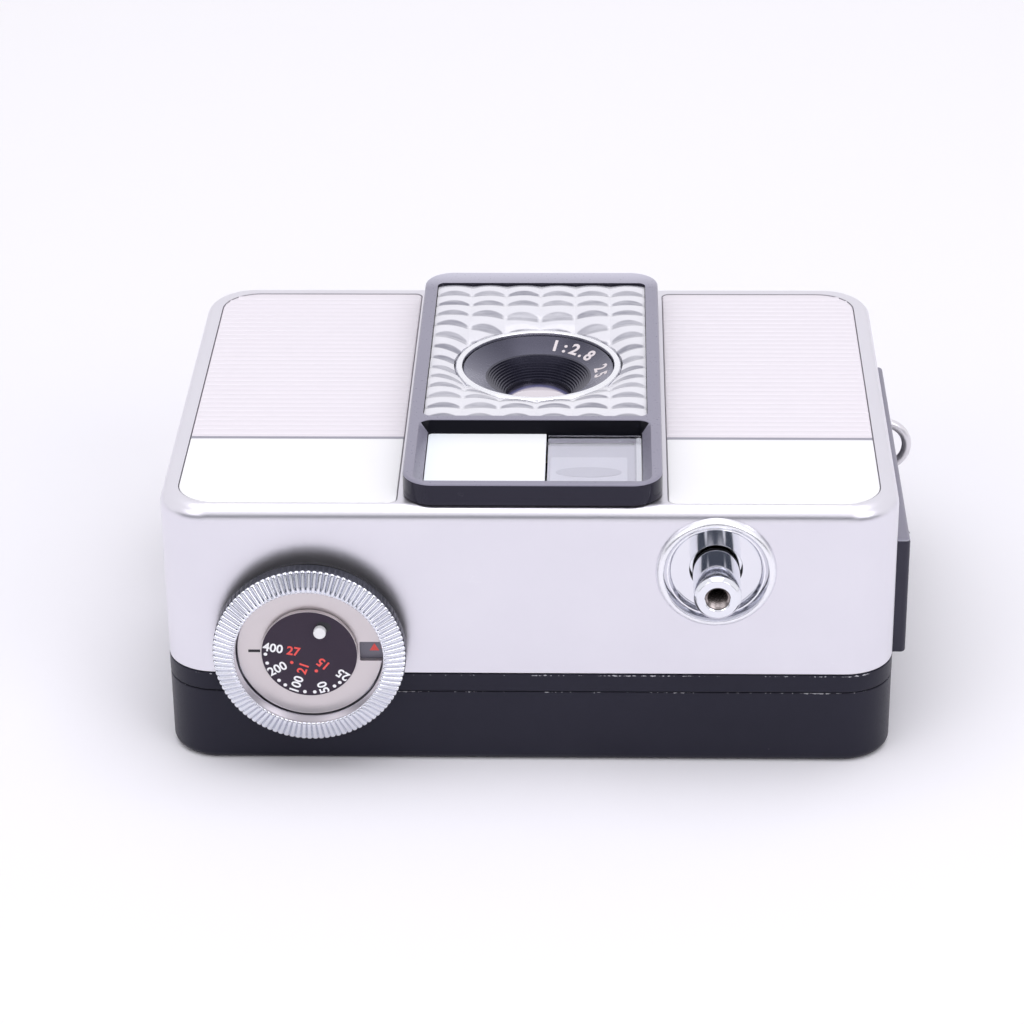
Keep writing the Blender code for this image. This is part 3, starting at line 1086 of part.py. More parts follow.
def make_sprocket(towards):
    """Film sprocket with two toothed wheels, and its gear in mesh with the drum gear."""
    axis = along_y(SPROCKET_X, SPROCKET_Z)
    low = DRIVE_LOW_Y + FIT
    high = CHAMBER_HIGH_Y - FIT
    shaft = SPROCKET_SHAFT_RADIUS
    core_low = DRUM_LOW_Y
    core_high = LENS_Y + SPROCKET_TRACK + SPROCKET_WHEEL
    sprocket = turned("sprocket", [(0.0, high), (shaft, high), (shaft, core_high),
                                   (SPROCKET_CORE_RADIUS, core_high), (SPROCKET_CORE_RADIUS, core_low),
                                   (shaft, core_low), (shaft, low), (0.0, low)],
                      STEEL, axis, COARSE)
    tip = SPROCKET_RADIUS + SPROCKET_TOOTH
    tooth = [(SPROCKET_RADIUS, -0.5), (SPROCKET_RADIUS, -0.3), (SPROCKET_RADIUS, -0.14), (tip, -0.06),
             (tip, 0.06), (SPROCKET_RADIUS, 0.14), (SPROCKET_RADIUS, 0.3)]
    for side, name in ((-1, "top_wheel"), (1, "base_wheel")):
        middle = LENS_Y + side * SPROCKET_TRACK
        unite(sprocket, plate(name, [toothed(SPROCKET_TEETH, tooth, 0.0)], middle - SPROCKET_WHEEL / 2,
                              middle + SPROCKET_WHEEL / 2, STEEL, axis))
    phase = towards + math.pi + math.pi / SPROCKET_TEETH_GEAR
    plate("sprocket_gear", [gear_outline(SPROCKET_TEETH_GEAR, phase), circle(shaft + SEAT, COARSE)], GEAR_LOW_Y,
          GEAR_LOW_Y + GEAR_WIDTH, BRASS, axis)


def make_rewind():
    """Rewind disc with its fork shaft, and the fold out crank."""
    axis = along_y(CASSETTE_X, CASSETTE_Z)
    low = HALF_HEIGHT + FIT
    high = low + REWIND_HEIGHT
    fork_high = CHAMBER_HIGH_Y - FIT
    fork_low = fork_high - FORK_LENGTH
    hub = turned("rewind_disc", [(0.0, high), (REWIND_RADIUS - FIT, high), (REWIND_RADIUS, high - FIT),
                                 (REWIND_RADIUS, low), (SHAFT_RADIUS, low), (SHAFT_RADIUS, fork_high),
                                 (FORK_RADIUS, fork_high), (FORK_RADIUS, fork_low), (0.0, fork_low)],
                 CHROME, axis, FINE)
    cut(hub, block("fork_slot", (-2 * FORK_RADIUS, -FORK_SLOT[0] / 2, fork_low - OVERCUT),
                   (2 * FORK_RADIUS, FORK_SLOT[0] / 2, fork_low + FORK_SLOT[1]), CHROME, place=axis))
    pivot_x = CASSETTE_X - CRANK_PIVOT_OFFSET
    pivot_y = high + SEAT + CRANK_LIFT
    boss = CRANK_BOSS / 2
    unite(hub, block("crank_boss", (pivot_x - boss, high - FIT, CASSETTE_Z - boss),
                     (pivot_x + boss, pivot_y + CRANK_THICKNESS / 2, CASSETTE_Z + boss), CHROME))
    pin = at(pivot_x, pivot_y)
    hole(hub, "crank_pin_hole", CRANK_PIN_RADIUS + SEAT, 0.0, BODY_DEPTH, pin, COARSE)
    arm_low = pivot_y - CRANK_THICKNESS / 2
    half = CRANK_WIDTH / 2
    crank = block("rewind_crank", (pivot_x - CRANK_TAIL, arm_low, CASSETTE_Z - half),
                  (pivot_x + CRANK_LENGTH, arm_low + CRANK_THICKNESS, CASSETTE_Z + half), CHROME)
    crank.data.transform(pin.inverted())
    crank.matrix_world = pin
    notch = boss + FIT
    cut(crank, block("crank_notch", (pivot_x - OVERCUT, arm_low - OVERCUT, CASSETTE_Z - notch),
                     (pivot_x + notch, arm_low + OVERCUT, CASSETTE_Z + notch), CHROME))
    unite(crank, disc("crank_pin", CRANK_PIN_RADIUS, CASSETTE_Z - half + SEAT, CASSETTE_Z + half - SEAT, CHROME,
                      pin, COARSE))
    grip_x = pivot_x + CRANK_LENGTH - CRANK_GRIP_INSET
    grip_low = arm_low + CRANK_THICKNESS + SEAT
    disc("crank_grip", CRANK_GRIP_RADIUS, grip_low, grip_low + CRANK_GRIP_HEIGHT, MATT_BLACK,
         along_y(grip_x, CASSETTE_Z), COARSE)


def make_base_fittings():
    """Tripod bush, rewind release button, frame counter with its window, and two screws."""
    face = HALF_HEIGHT + SEAT
    low = HALF_HEIGHT - TRIPOD_DEPTH
    turned("tripod_bush", [(TRIPOD_FLANGE_RADIUS, face + 2 * FIT), (TRIPOD_FLANGE_RADIUS, face),
                           (TRIPOD_BODY_RADIUS, face), (TRIPOD_BODY_RADIUS, low), (TRIPOD_HOLE_RADIUS, low),
                           (TRIPOD_HOLE_RADIUS, face + 2 * FIT)], CHROME, along_y(0.0, TRIPOD_Z))
    disc("rewind_button", REWIND_BUTTON_RADIUS, HALF_HEIGHT - REWIND_BUTTON_DEPTH,
         HALF_HEIGHT + REWIND_BUTTON_RISE, CHROME, along_y(REWIND_BUTTON_X, TRIPOD_Z), COARSE)
    window_low = HALF_HEIGHT + SEAT
    turned("counter_window", [(0.0, window_low + 3 * FIT), (COUNTER_WINDOW_RADIUS / 2, window_low + 2.5 * FIT),
                              (COUNTER_WINDOW_RADIUS, window_low + FIT), (COUNTER_WINDOW_RADIUS, window_low),
                              (0.0, window_low)], GLASS, along_y(COUNTER_X, COUNTER_Z), MEDIUM)
    dial_low = CHASSIS_Y - COUNTER_DEPTH + FIT
    disc("counter_dial", COUNTER_RADIUS, dial_low, dial_low + COUNTER_THICKNESS, WHITE,
         along_y(COUNTER_X, COUNTER_Z))
    spots = (("base_screw_1", -COVER_INNER_X + BASE_SCREW_INSET),
             ("base_screw_2", DRUM_X - KNOB_RADIUS - BASE_SCREW_GAP))
    for name, x in spots:
        screw(name, along_y(x, BODY_DEPTH - BASE_SCREW_DROP, HALF_HEIGHT + SEAT))


def main():
    """Build every piece of the camera."""
    make_front_cover()
    make_panels()
    make_cell_frame()
    make_windows()
    make_lens()
    make_shutter()
    make_finder()
    make_meter()
    make_dial()
    make_release()
    make_side_plate()
    make_door()
    make_chassis()
    make_drive()
    make_rewind()
    make_base_fittings()


main()
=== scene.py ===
"""Looks of a half frame camera that lies on its back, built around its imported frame.

Sizes are in millimetres until a mesh is finished. X runs to the right of the face, Y from the
camera's top (minus) to its base (plus), and Z from the back door (zero) to the lens.
"""

import logging
import math
from dataclasses import dataclass, replace
from enum import Enum
from typing import Any, Callable, Iterable, Optional, Sequence

import bmesh
import bpy
from mathutils import Matrix, Vector


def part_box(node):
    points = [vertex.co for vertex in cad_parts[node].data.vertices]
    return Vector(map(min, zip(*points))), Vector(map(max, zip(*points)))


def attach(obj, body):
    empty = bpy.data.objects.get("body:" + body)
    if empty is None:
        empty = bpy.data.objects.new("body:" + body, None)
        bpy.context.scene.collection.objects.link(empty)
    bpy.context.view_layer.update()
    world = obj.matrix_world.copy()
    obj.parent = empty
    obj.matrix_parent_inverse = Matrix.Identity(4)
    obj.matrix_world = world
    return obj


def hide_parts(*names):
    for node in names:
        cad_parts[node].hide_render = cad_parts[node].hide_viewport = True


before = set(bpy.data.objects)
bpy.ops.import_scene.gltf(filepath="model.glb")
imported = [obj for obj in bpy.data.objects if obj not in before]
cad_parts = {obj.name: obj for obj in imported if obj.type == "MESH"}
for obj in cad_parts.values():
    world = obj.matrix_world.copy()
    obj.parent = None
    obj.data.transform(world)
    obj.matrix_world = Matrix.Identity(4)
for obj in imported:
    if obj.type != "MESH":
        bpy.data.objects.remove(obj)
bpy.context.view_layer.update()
LOG = logging.getLogger("half_frame_camera")
MM = 0.001
Tree = bpy.types.NodeTree
Solid = bmesh.types.BMesh
Pair = tuple[float, float]
Triple = tuple[float, float, float]


def linked(name: str, data: Any) -> bpy.types.Object:
    """Put data into the scene as an object.

    Args:
        name: the object's name.
        data: its mesh, curve, lamp or camera.

    Returns:
        The object.
    """
    thing = bpy.data.objects.new(name, data)
    bpy.context.scene.collection.objects.link(thing)
    return thing


def opened(mesh: bpy.types.Mesh) -> Solid:
    """Open a mesh as a bmesh.

    Args:
        mesh: the mesh, which is removed.

    Returns:
        The bmesh.
    """
    bm = bmesh.new()
    bm.from_mesh(mesh)
    bpy.data.meshes.remove(mesh)
    return bm


class Axis(Enum):
    """Ways that a turned piece can face."""

    FRONT = "towards +Z, out of the face"
    TOP = "towards -Y, out of the camera's top"
    BASE = "towards +Y, out of the base"
    RIGHT = "towards +X, out of the right side"

    def at(self, x: float, y: float, z: float) -> Matrix:
        """Return the placement at a point whose local Z faces this way.

        Args:
            x, y, z: the point in millimetres.

        Returns:
            The placement matrix.
        """
        turns = {Axis.FRONT: Matrix(), Axis.TOP: Matrix.Rotation(math.pi / 2, 4, "X"),
                 Axis.BASE: Matrix.Rotation(-math.pi / 2, 4, "X"),
                 Axis.RIGHT: Matrix.Rotation(math.pi / 2, 4, "Y")}
        return Matrix.Translation((x, y, z)) @ turns[self].to_4x4()


def around(place: Matrix, face: Any) -> Pair:
    """Return the radius and height of a face's middle about the axis of a placement."""
    x, y, z = place.inverted() @ face.calc_center_median()
    return math.hypot(x, y), z


class Effect(Enum):
    """Shared surface effects, each a shader node group."""

    GRAIN = "grain"
    SPECKS = "specks"
    SCRATCHES = "scratches"
    EDGE_CHIPS = "edge_chips"
    FADE = "fade"
    LENSLETS = "lenslets"


def feed(tree: Tree, socket: Any, term: Any) -> None:
    """Give a node's input what it needs.

    Args:
        tree: the node's tree.
        socket: the input.
        term: a value or socket to link, or a plain value to set.
    """
    if isinstance(term, Value):
        term = term.socket
    if isinstance(term, bpy.types.NodeSocket):
        tree.links.new(term, socket)
    else:
        socket.default_value = term


@dataclass(frozen=True)
class Value:
    """A number in a node tree; arithmetic with it adds Math nodes to the tree."""

    tree: Tree
    socket: Any

    def math(self, operation: str, *others: Any, clamp: bool = False) -> "Value":
        """Add a Math node that starts from this number.

        Args:
            operation: Blender's name of the operation.
            others: further values or plain numbers.
            clamp: whether the result is held between 0 and 1.

        Returns:
            The result.
        """
        node = self.tree.nodes.new("ShaderNodeMath")
        node.operation = operation
        node.use_clamp = clamp
        for socket, term in zip(node.inputs, (self, *others)):
            feed(self.tree, socket, term)
        return Value(self.tree, node.outputs[0])

    def held(self) -> "Value":
        """Return the number held between 0 and 1."""
        return self.math("ADD", 0.0, clamp=True)

    def __add__(self, other: Any) -> "Value":
        """Return the sum."""
        return self.math("ADD", other)

    def __sub__(self, other: Any) -> "Value":
        """Return the difference."""
        return self.math("SUBTRACT", other)

    def __rsub__(self, other: float) -> "Value":
        """Return a plain number less this one."""
        return self.math("MULTIPLY_ADD", -1.0, other)

    def __mul__(self, other: Any) -> "Value":
        """Return the product."""
        return self.math("MULTIPLY", other)

    def __truediv__(self, other: Any) -> "Value":
        """Return the quotient."""
        return self.math("DIVIDE", other)

    def __abs__(self) -> "Value":
        """Return the number without its sign."""
        return self.math("ABSOLUTE")


class Nodes:
    """Adds nodes to a tree."""

    def __init__(self, tree: Tree) -> None:
        """Hold the tree that gets the nodes."""
        self.tree = tree

    def add(self, kind: str, inputs: Optional[dict[Any, Any]] = None, **settings: Any) -> Any:
        """Add a node.

        Args:
            kind: its type.
            inputs: what its inputs get, by name or number.
            settings: its properties.

        Returns:
            The node.
        """
        node = self.tree.nodes.new(kind)
        for label, value in settings.items():
            setattr(node, label, value)
        for label, value in (inputs or {}).items():
            feed(self.tree, node.inputs[label], value)
        return node

    def value(self, node: Any, label: str) -> Value:
        """Return an output of a node as a value."""
        return Value(self.tree, node.outputs[label])

    def split(self, vector: Any) -> list[Value]:
        """Return the three numbers of a vector."""
        return [Value(self.tree, part) for part in self.add("ShaderNodeSeparateXYZ", {0: vector}).outputs]

    def join(self, x: Any, y: Any, z: Any) -> Any:
        """Return the vector of three numbers."""
        return self.add("ShaderNodeCombineXYZ", {0: x, 1: y, 2: z}).outputs[0]

    def noise(self, vector: Any, scale: Any, detail: float = 2.0) -> Value:
        """Return the value of a noise texture."""
        return self.value(self.add("ShaderNodeTexNoise", {"Detail": detail, "Vector": vector, "Scale": scale}), "Fac")

    def mix(self, factor: Any, first: Any, second: Any) -> Any:
        """Mix two colours.

        Args:
            factor: share of the second colour.
            first, second: the colours, each a socket or three numbers.

        Returns:
            The socket of the mixed colour.
        """
        node = self.add("ShaderNodeMix", {"Factor": factor}, data_type="RGBA")
        for label, colour in (("A", first), ("B", second)):
            socket = next(s for s in node.inputs if s.name == label and s.type == "RGBA")
            feed(self.tree, socket, (*colour, 1.0) if isinstance(colour, tuple) else colour)
        return next(s for s in node.outputs if s.type == "RGBA")


class Group(Nodes):
    """A shader node group that makes numbers from a place on the surface."""

    def __init__(self, name: str, **inputs: float) -> None:
        """Start the group.

        Args:
            name: its name.
            inputs: its number inputs and their defaults.
        """
        super().__init__(bpy.data.node_groups.new(name, "ShaderNodeTree"))
        face = self.tree.interface
        face.new_socket("Vector", in_out="INPUT", socket_type="NodeSocketVector")
        for label, value in inputs.items():
            face.new_socket(label, in_out="INPUT", socket_type="NodeSocketFloat").default_value = value
        start = self.add("NodeGroupInput")
        self.where = start.outputs["Vector"]
        self.given = {label: self.value(start, label) for label in inputs}

    def done(self, **outputs: Value) -> Tree:
        """End the group.

        Args:
            outputs: the numbers that it gives.

        Returns:
            Its tree.
        """
        for label in outputs:
            self.tree.interface.new_socket(label, in_out="OUTPUT", socket_type="NodeSocketFloat")
        self.add("NodeGroupOutput", outputs)
        return self.tree


class ShaderKit:
    """Builds the shared effects once and hands them to the materials."""

    def __init__(self) -> None:
        """Start with no effect built."""
        self.groups: dict[Effect, Tree] = {}

    def group(self, effect: Effect) -> Tree:
        """Return the node group of an effect, built at its first use.

        Args:
            effect: the effect.

        Returns:
            Its shader node group.
        """
        if effect not in self.groups:
            self.groups[effect] = getattr(self, "_" + effect.value)()
        return self.groups[effect]

    @staticmethod
    def _grain() -> Tree:
        """Fine grain of paint or blasted metal, and slow clouds of tone.

        Returns:
            The group's tree.
        """
        group = Group("surface_grain", Scale=4000.0, Clouds=120.0)
        return group.done(Fine=group.noise(group.where, group.given["Scale"], 3.0),
                          Cloud=group.noise(group.where, group.given["Clouds"], 3.0))

    @staticmethod
    def _specks() -> Tree:
        """Scattered small round marks: dust, pits or pin holes.

        Returns:
            The group's tree.
        """
        group = Group("specks", Scale=900.0, Size=0.12, Amount=0.2)
        cells = group.add("ShaderNodeTexVoronoi", {"Vector": group.where, "Scale": group.given["Scale"]})
        split = group.add("ShaderNodeSeparateColor", {"Color": cells.outputs["Color"]})
        chosen = group.value(split, "Red").math("LESS_THAN", group.given["Amount"])
        small = group.given["Size"] * group.value(split, "Green") - group.value(cells, "Distance")
        return group.done(Mask=(small * 25.0).held() * chosen)

    @staticmethod
    def _scratches() -> Tree:
        """Fine hairlines in two directions.

        Returns:
            The group's tree.
        """
        group = Group("scratches", Scale=260.0, Amount=0.3)
        lines = []
        for turn, stretch in ((0.5, (1.0, 14.0, 9.0)), (-0.9, (12.0, 1.0, 10.0))):
            place = group.add("ShaderNodeMapping", {"Vector": group.where, "Rotation": (turn, turn / 2, turn),
                                                    "Scale": stretch})
            value = group.noise(place.outputs["Vector"], group.given["Scale"], 1.0)
            lines.append((1.0 - abs(value - 0.5) * 130.0).held())
        there = group.given["Amount"].math("GREATER_THAN", group.noise(group.where, 90.0))
        return group.done(Mask=lines[0].math("MAXIMUM", lines[1]) * there)

    @staticmethod
    def _edge_chips() -> Tree:
        """Pale flecks along a level edge: worn paint, and on the side plate partly a painted edge highlight.

        Returns:
            The group's tree.
        """
        group = Group("edge_chips", Level=0.0, Width=0.0002, Amount=0.45)
        away = abs(group.split(group.where)[2] - group.given["Level"])
        near = (1.0 - away / group.given["Width"]).held()
        wear_and_edge_sheen = (group.noise(group.where, 2600.0, 3.0) + group.noise(group.where, 160.0)) * near
        return group.done(Mask=((wear_and_edge_sheen - (1.0 - group.given["Amount"])) * 12.0).held())

    @staticmethod
    def _fade() -> Tree:
        """Even change of tone along a direction, with an arch across X where the bow isn't zero.

        Returns:
            The group's tree.
        """
        group = Group("fade", X=0.0, Y=1.0, Z=0.0, From=0.0, To=1.0, Bow=0.0, Middle=0.0)
        given = group.given
        spot = group.split(group.where)
        terms = [part * given[axis] for part, axis in zip(spot, "XYZ")]
        aside = spot[0] - given["Middle"]
        along = terms[0] + terms[1] + (terms[2] + aside * aside * given["Bow"])
        return group.done(Mask=((along - given["From"]) / (given["To"] - given["From"])).held())

    @staticmethod
    def _lenslets() -> Tree:
        """Painted shade: a dark crescent in each cell of a plate of small lenses, broken by streaks of painted
        reflection.

        Returns:
            The group's tree.
        """
        group = Group("lenslets", Left=0.0, Far=0.0, PitchX=0.004, PitchY=0.003, Start=0.36, End=0.92, Arch=0.26,
                      Soft=0.09)
        given = group.given
        x, y, _ = group.split(group.where)
        column = (x - given["Left"]) / given["PitchX"]
        row = (given["Far"] - y) / given["PitchY"]
        across = column.math("FRACT") * 2.0 - 1.0
        down = row.math("FRACT")
        corner = group.join(column.math("FLOOR"), row.math("FLOOR"), 0.0)
        chance = group.value(group.add("ShaderNodeTexWhiteNoise", {"Vector": corner}, noise_dimensions="2D"), "Value")
        upper = (down - (given["Start"] + across * across * given["Arch"])) / given["Soft"]
        lower = (given["End"] + (chance - 0.5) * 0.10 - down) / given["Soft"]
        side = (0.95 - abs(across)) / 0.14
        depth = 1.0 - chance * 0.35
        # Stretched noise varies the painted shade as streaks of painted reflection.
        stretch = group.add("ShaderNodeVectorMath", {0: group.where, 1: (1.0, 4.0, 1.0)}, operation="MULTIPLY")
        reflection_streaks = group.noise(stretch.outputs[0], 420.0) + 0.45
        return group.done(Mask=(upper.held() * lower.held() * side.held() * depth * reflection_streaks).held())


KIT = ShaderKit()


@dataclass(frozen=True)
class Finish:
    """One finish: its record slot, colours, the marks of use on it and any light and shade painted into its colour."""

    name: str
    slot: str
    colour: Triple
    tone: Triple
    rough: float = 0.4
    swing: float = 0.10
    metal: float = 0.0
    ior: float = 1.5
    coat: float = 0.0
    clear: float = 0.0
    grain: float = 4000.0
    cloud: float = 120.0
    bump: float = 0.0
    relief: float = 0.02
    specks: float = 0.0
    speck_colour: Triple = (0.75, 0.75, 0.78)
    speck_size: float = 0.10
    speck_scale: float = 700.0
    scratches: float = 0.0
    scratch_colour: Triple = (0.6, 0.6, 0.64)
    chips: tuple[float, ...] = ()
    chip_width: float = 0.22
    chip_amount: float = 0.45
    chip_colour: Triple = (0.70, 0.70, 0.72)
    tint: Triple = (1.0, 1.0, 1.0)
    fades: tuple[tuple[Triple, float, float, Triple], ...] = ()
    bow: Pair = (0.0, 0.0)
    cells: tuple[float, ...] = ()
    lenslet_shade_colour: Triple = (0.40, 0.40, 0.45)

    def material(self) -> bpy.types.Material:
        """Return the finish as a procedural material, made at its first use.

        Returns:
            The material.
        """
        name = self.name + "_finish"
        known = bpy.data.materials.get(name)
        if known is not None:
            return known
        material = bpy.data.materials.new(name)
        material.use_nodes = True
        nodes = Nodes(material.node_tree)
        where = nodes.add("ShaderNodeTexCoord").outputs["Object"]

        def placed(effect: Effect, values: dict[str, float]) -> Any:
            """Place a shared effect with its own values."""
            return nodes.add("ShaderNodeGroup", {"Vector": where, **values}, node_tree=KIT.group(effect))

        grain = placed(Effect.GRAIN, {"Scale": self.grain, "Clouds": self.cloud})
        colour = nodes.mix(grain.outputs["Cloud"], self.colour, self.tone)
        for effect, values, other in self._marks():
            colour = nodes.mix(placed(effect, values).outputs["Mask"], colour, other)
        fine = grain.outputs["Fine"]
        rough = nodes.add("ShaderNodeMapRange", {"Value": fine, "To Min": max(self.rough - self.swing, 0.0),
                                                 "To Max": self.rough + self.swing})
        looks = {"Base Color": colour, "Roughness": rough.outputs["Result"], "Metallic": self.metal, "IOR": self.ior,
                 "Specular Tint": (*self.tint, 1.0), "Coat Weight": self.coat, "Coat Roughness": 0.08,
                 "Transmission Weight": self.clear}
        if self.bump > 0.0:
            relief = nodes.add("ShaderNodeBump", {"Strength": min(self.bump, 1.0), "Distance": self.relief * MM,
                                                  "Height": fine})
            looks["Normal"] = relief.outputs["Normal"]
        shader = nodes.tree.nodes["Principled BSDF"]
        for label, value in looks.items():
            feed(nodes.tree, shader.inputs[label], value)
        return material

    def _marks(self) -> list[tuple[Effect, dict[str, float], Triple]]:
        """List what changes the colour, in the order in which it is laid on.

        Returns:
            Each effect with its values and its colour.
        """
        marks = []
        for direction, first, last, colour in self.fades:
            marks.append((Effect.FADE, dict(zip("XYZ", direction), From=first * MM, To=last * MM,
                                            Bow=self.bow[0] / MM, Middle=self.bow[1] * MM), colour))
        if self.cells:
            labels = ("Left", "Far", "PitchX", "PitchY")
            marks.append((Effect.LENSLETS, {k: v * MM for k, v in zip(labels, self.cells)}, self.lenslet_shade_colour))
        if self.scratches > 0.0:
            marks.append((Effect.SCRATCHES, {"Amount": self.scratches}, self.scratch_colour))
        if self.specks > 0.0:
            marks.append((Effect.SPECKS, {"Scale": self.speck_scale, "Size": self.speck_size, "Amount": self.specks},
                          self.speck_colour))
        for level in self.chips:
            marks.append((Effect.EDGE_CHIPS, {"Level": level * MM, "Width": self.chip_width * MM,
                                              "Amount": self.chip_amount}, self.chip_colour))
        return marks


BLUE_SHEEN = (0.80, 0.78, 1.0)
SILVER = Finish("satin_silver", "satin_silver", (0.79, 0.775, 0.825), (0.745, 0.73, 0.785), 0.30, 0.05, 0.95,
    grain=9000.0, bump=0.10, specks=0.10, speck_colour=(0.16, 0.15, 0.17), speck_size=0.09, speck_scale=420.0,
    scratches=0.30, scratch_colour=(0.84, 0.83, 0.87))
DISH_SILVER = Finish("bright_silver", "satin_silver", (0.83, 0.83, 0.87), (0.76, 0.76, 0.81), 0.07, 0.03, 1.0,
    grain=6000.0)
BEAD = Finish("satin_bead", "satin_silver", (0.92, 0.92, 0.95), (0.88, 0.88, 0.92), 0.26, 0.05, 0.92, grain=7000.0)
# Painted shade: a darker grey for the walls and floors of the panels' pockets, where shade falls in the gaps.
POCKET_PAINTED_SHADE = Finish("panel_gap_painted_shade", "satin_silver", (0.52, 0.505, 0.54), (0.46, 0.445, 0.48), 0.5, 0.1, grain=3000.0)
CHROME = Finish("bright_chrome", "chrome", (0.84, 0.85, 0.89), (0.78, 0.79, 0.84), 0.07, 0.03, 1.0, grain=2500.0,
    scratches=0.35, scratch_colour=(0.93, 0.93, 0.95))
TRIM = replace(CHROME, name="trim_chrome", colour=(0.94, 0.945, 0.97), tone=(0.90, 0.905, 0.935), rough=0.20)
KNURL_CHROME = Finish("knurled_chrome", "chrome", (0.83, 0.84, 0.89), (0.74, 0.75, 0.81), 0.16, 0.06, 1.0,
    grain=5000.0, specks=0.10, speck_colour=(0.30, 0.29, 0.32), speck_size=0.10, speck_scale=1500.0)
SATIN = Finish("satin_steel", "chrome", (0.50, 0.50, 0.535), (0.44, 0.44, 0.475), 0.30, 0.07, 1.0, grain=6000.0,
    scratches=0.30, scratch_colour=(0.68, 0.68, 0.71))
# Painted shade: a dark metal for the aperture ring's outer wall, standing in for its shade and dark reflection.
RING_WALL_PAINTED_SHADE = Finish("ring_wall_painted_shade", "chrome", (0.085, 0.088, 0.105), (0.06, 0.063, 0.08), 0.30, 0.08, 1.0)
BLACK_CAST = Finish("black_casting", "black_casting", (0.0085, 0.0085, 0.0145), (0.014, 0.014, 0.022), 0.40, 0.10,
    ior=1.38, tint=BLUE_SHEEN, grain=3500.0, bump=0.30, specks=0.22, speck_colour=(0.16, 0.16, 0.19), speck_size=0.09,
    chips=(9.1, 11.3), chip_amount=-0.06, chip_width=0.7, chip_colour=(0.42, 0.42, 0.45))
BLACK_PAINT = Finish("black_paint", "black_paint", (0.020, 0.020, 0.028), (0.030, 0.029, 0.040), 0.42, 0.10,
    tint=BLUE_SHEEN, grain=3000.0, bump=0.25, specks=0.12, speck_colour=(0.16, 0.16, 0.19), speck_size=0.08,
    scratches=0.30, scratch_colour=(0.10, 0.10, 0.12))
GRAINED = replace(BLACK_PAINT, name="door_grain", colour=(0.012, 0.012, 0.018), rough=0.50, grain=1300.0, bump=1.0,
    relief=0.12, specks=0.0, scratches=0.0)
# Pale flecks along the plate's upper edge at 24.1 mm: partly worn paint, partly a painted highlight on that edge.
PLATE_BLACK = replace(BLACK_PAINT, name="plate_black", chips=(24.1,), chip_amount=0.10, chip_width=0.35)
# Painted highlight on the rounded upper edge of the plate's near end.
PLATE_EDGE_HIGHLIGHT = replace(BLACK_PAINT, name="plate_edge_painted_highlight", colour=(0.45, 0.45, 0.50), tone=(0.25, 0.25, 0.30))
# Painted sheen: a lighter slate grey for the plate's upward faces.
PLATE_TOP_PAINTED_SHEEN = Finish("plate_top_painted_sheen", "black_paint", (0.26, 0.25, 0.31), (0.21, 0.205, 0.255), 0.40, 0.08, grain=3000.0,
    cloud=60.0, specks=0.12, speck_colour=(0.45, 0.45, 0.50), speck_size=0.06)
# Black metal, also used as painted shade in the aperture ring's undercut and in the release collar's bore.
BLACK_METAL_AND_SHADE = Finish("black_metal", "black_metal", (0.010, 0.010, 0.011), (0.018, 0.018, 0.020), 0.55, 0.12,
    grain=2500.0, bump=0.2, scratches=0.28, scratch_colour=(0.07, 0.07, 0.075))
# Painted shade inside the cable socket, and a painted highlight on the thread flanks that face the opening.
SOCKET_PAINTED_SHADE = Finish("socket_painted_shade", "black_metal", (0.10, 0.08, 0.075), (0.05, 0.04, 0.038), 0.22, 0.08, 0.8, grain=2500.0)
THREAD_PAINTED_HIGHLIGHT = Finish("thread_painted_highlight", "black_metal", (0.42, 0.37, 0.36), (0.30, 0.27, 0.265), 0.25, 0.08, 0.9, grain=2500.0)
GLOSS_BLACK = Finish("gloss_black", "gloss_black", (0.008, 0.0075, 0.013), (0.012, 0.011, 0.018), 0.14, 0.05,
    ior=1.45, tint=BLUE_SHEEN, grain=1800.0, specks=0.16, speck_colour=(0.20, 0.20, 0.24), speck_size=0.07,
    speck_scale=800.0, scratches=0.26, scratch_colour=(0.04, 0.04, 0.05))
# Painted sheen: a paler grey for the frame's upward faces, lighter still towards the back as a painted reflection.
FRAME_PAINTED_SHEEN = Finish("frame_painted_sheen", "gloss_black", (0.275, 0.265, 0.335), (0.25, 0.24, 0.308), 0.30, 0.08, grain=3500.0,
    cloud=60.0, specks=0.14, speck_colour=(0.50, 0.50, 0.56), speck_size=0.06, speck_scale=900.0,
    fades=(((0.0, 1.0, 0.0), 24.0, 28.0, (0.52, 0.51, 0.60)),))
# Painted shade: a duller, darker black for the far wall of the finder recess.
RECESS_PAINTED_SHADE = Finish("recess_painted_shade", "gloss_black", (0.005, 0.005, 0.009), (0.007, 0.007, 0.011), 0.32, 0.08, ior=1.2,
    grain=2500.0)
MATT_BLACK = Finish("matt_black", "matt_black", (0.016, 0.0125, 0.020), (0.024, 0.020, 0.030), 0.46, 0.10,
    tint=BLUE_SHEEN, grain=3000.0, bump=0.2, specks=0.08, speck_colour=(0.14, 0.14, 0.16), speck_size=0.07)
DISC_BLACK = replace(MATT_BLACK, name="disc_black", colour=(0.022, 0.011, 0.020), tone=(0.030, 0.018, 0.029),
    speck_colour=(0.16, 0.15, 0.18))
CONE_BLACK = Finish("cone_black", "black_metal", (0.008, 0.008, 0.015), (0.014, 0.014, 0.024), 0.18, 0.06, ior=1.7,
    tint=BLUE_SHEEN, grain=2500.0)
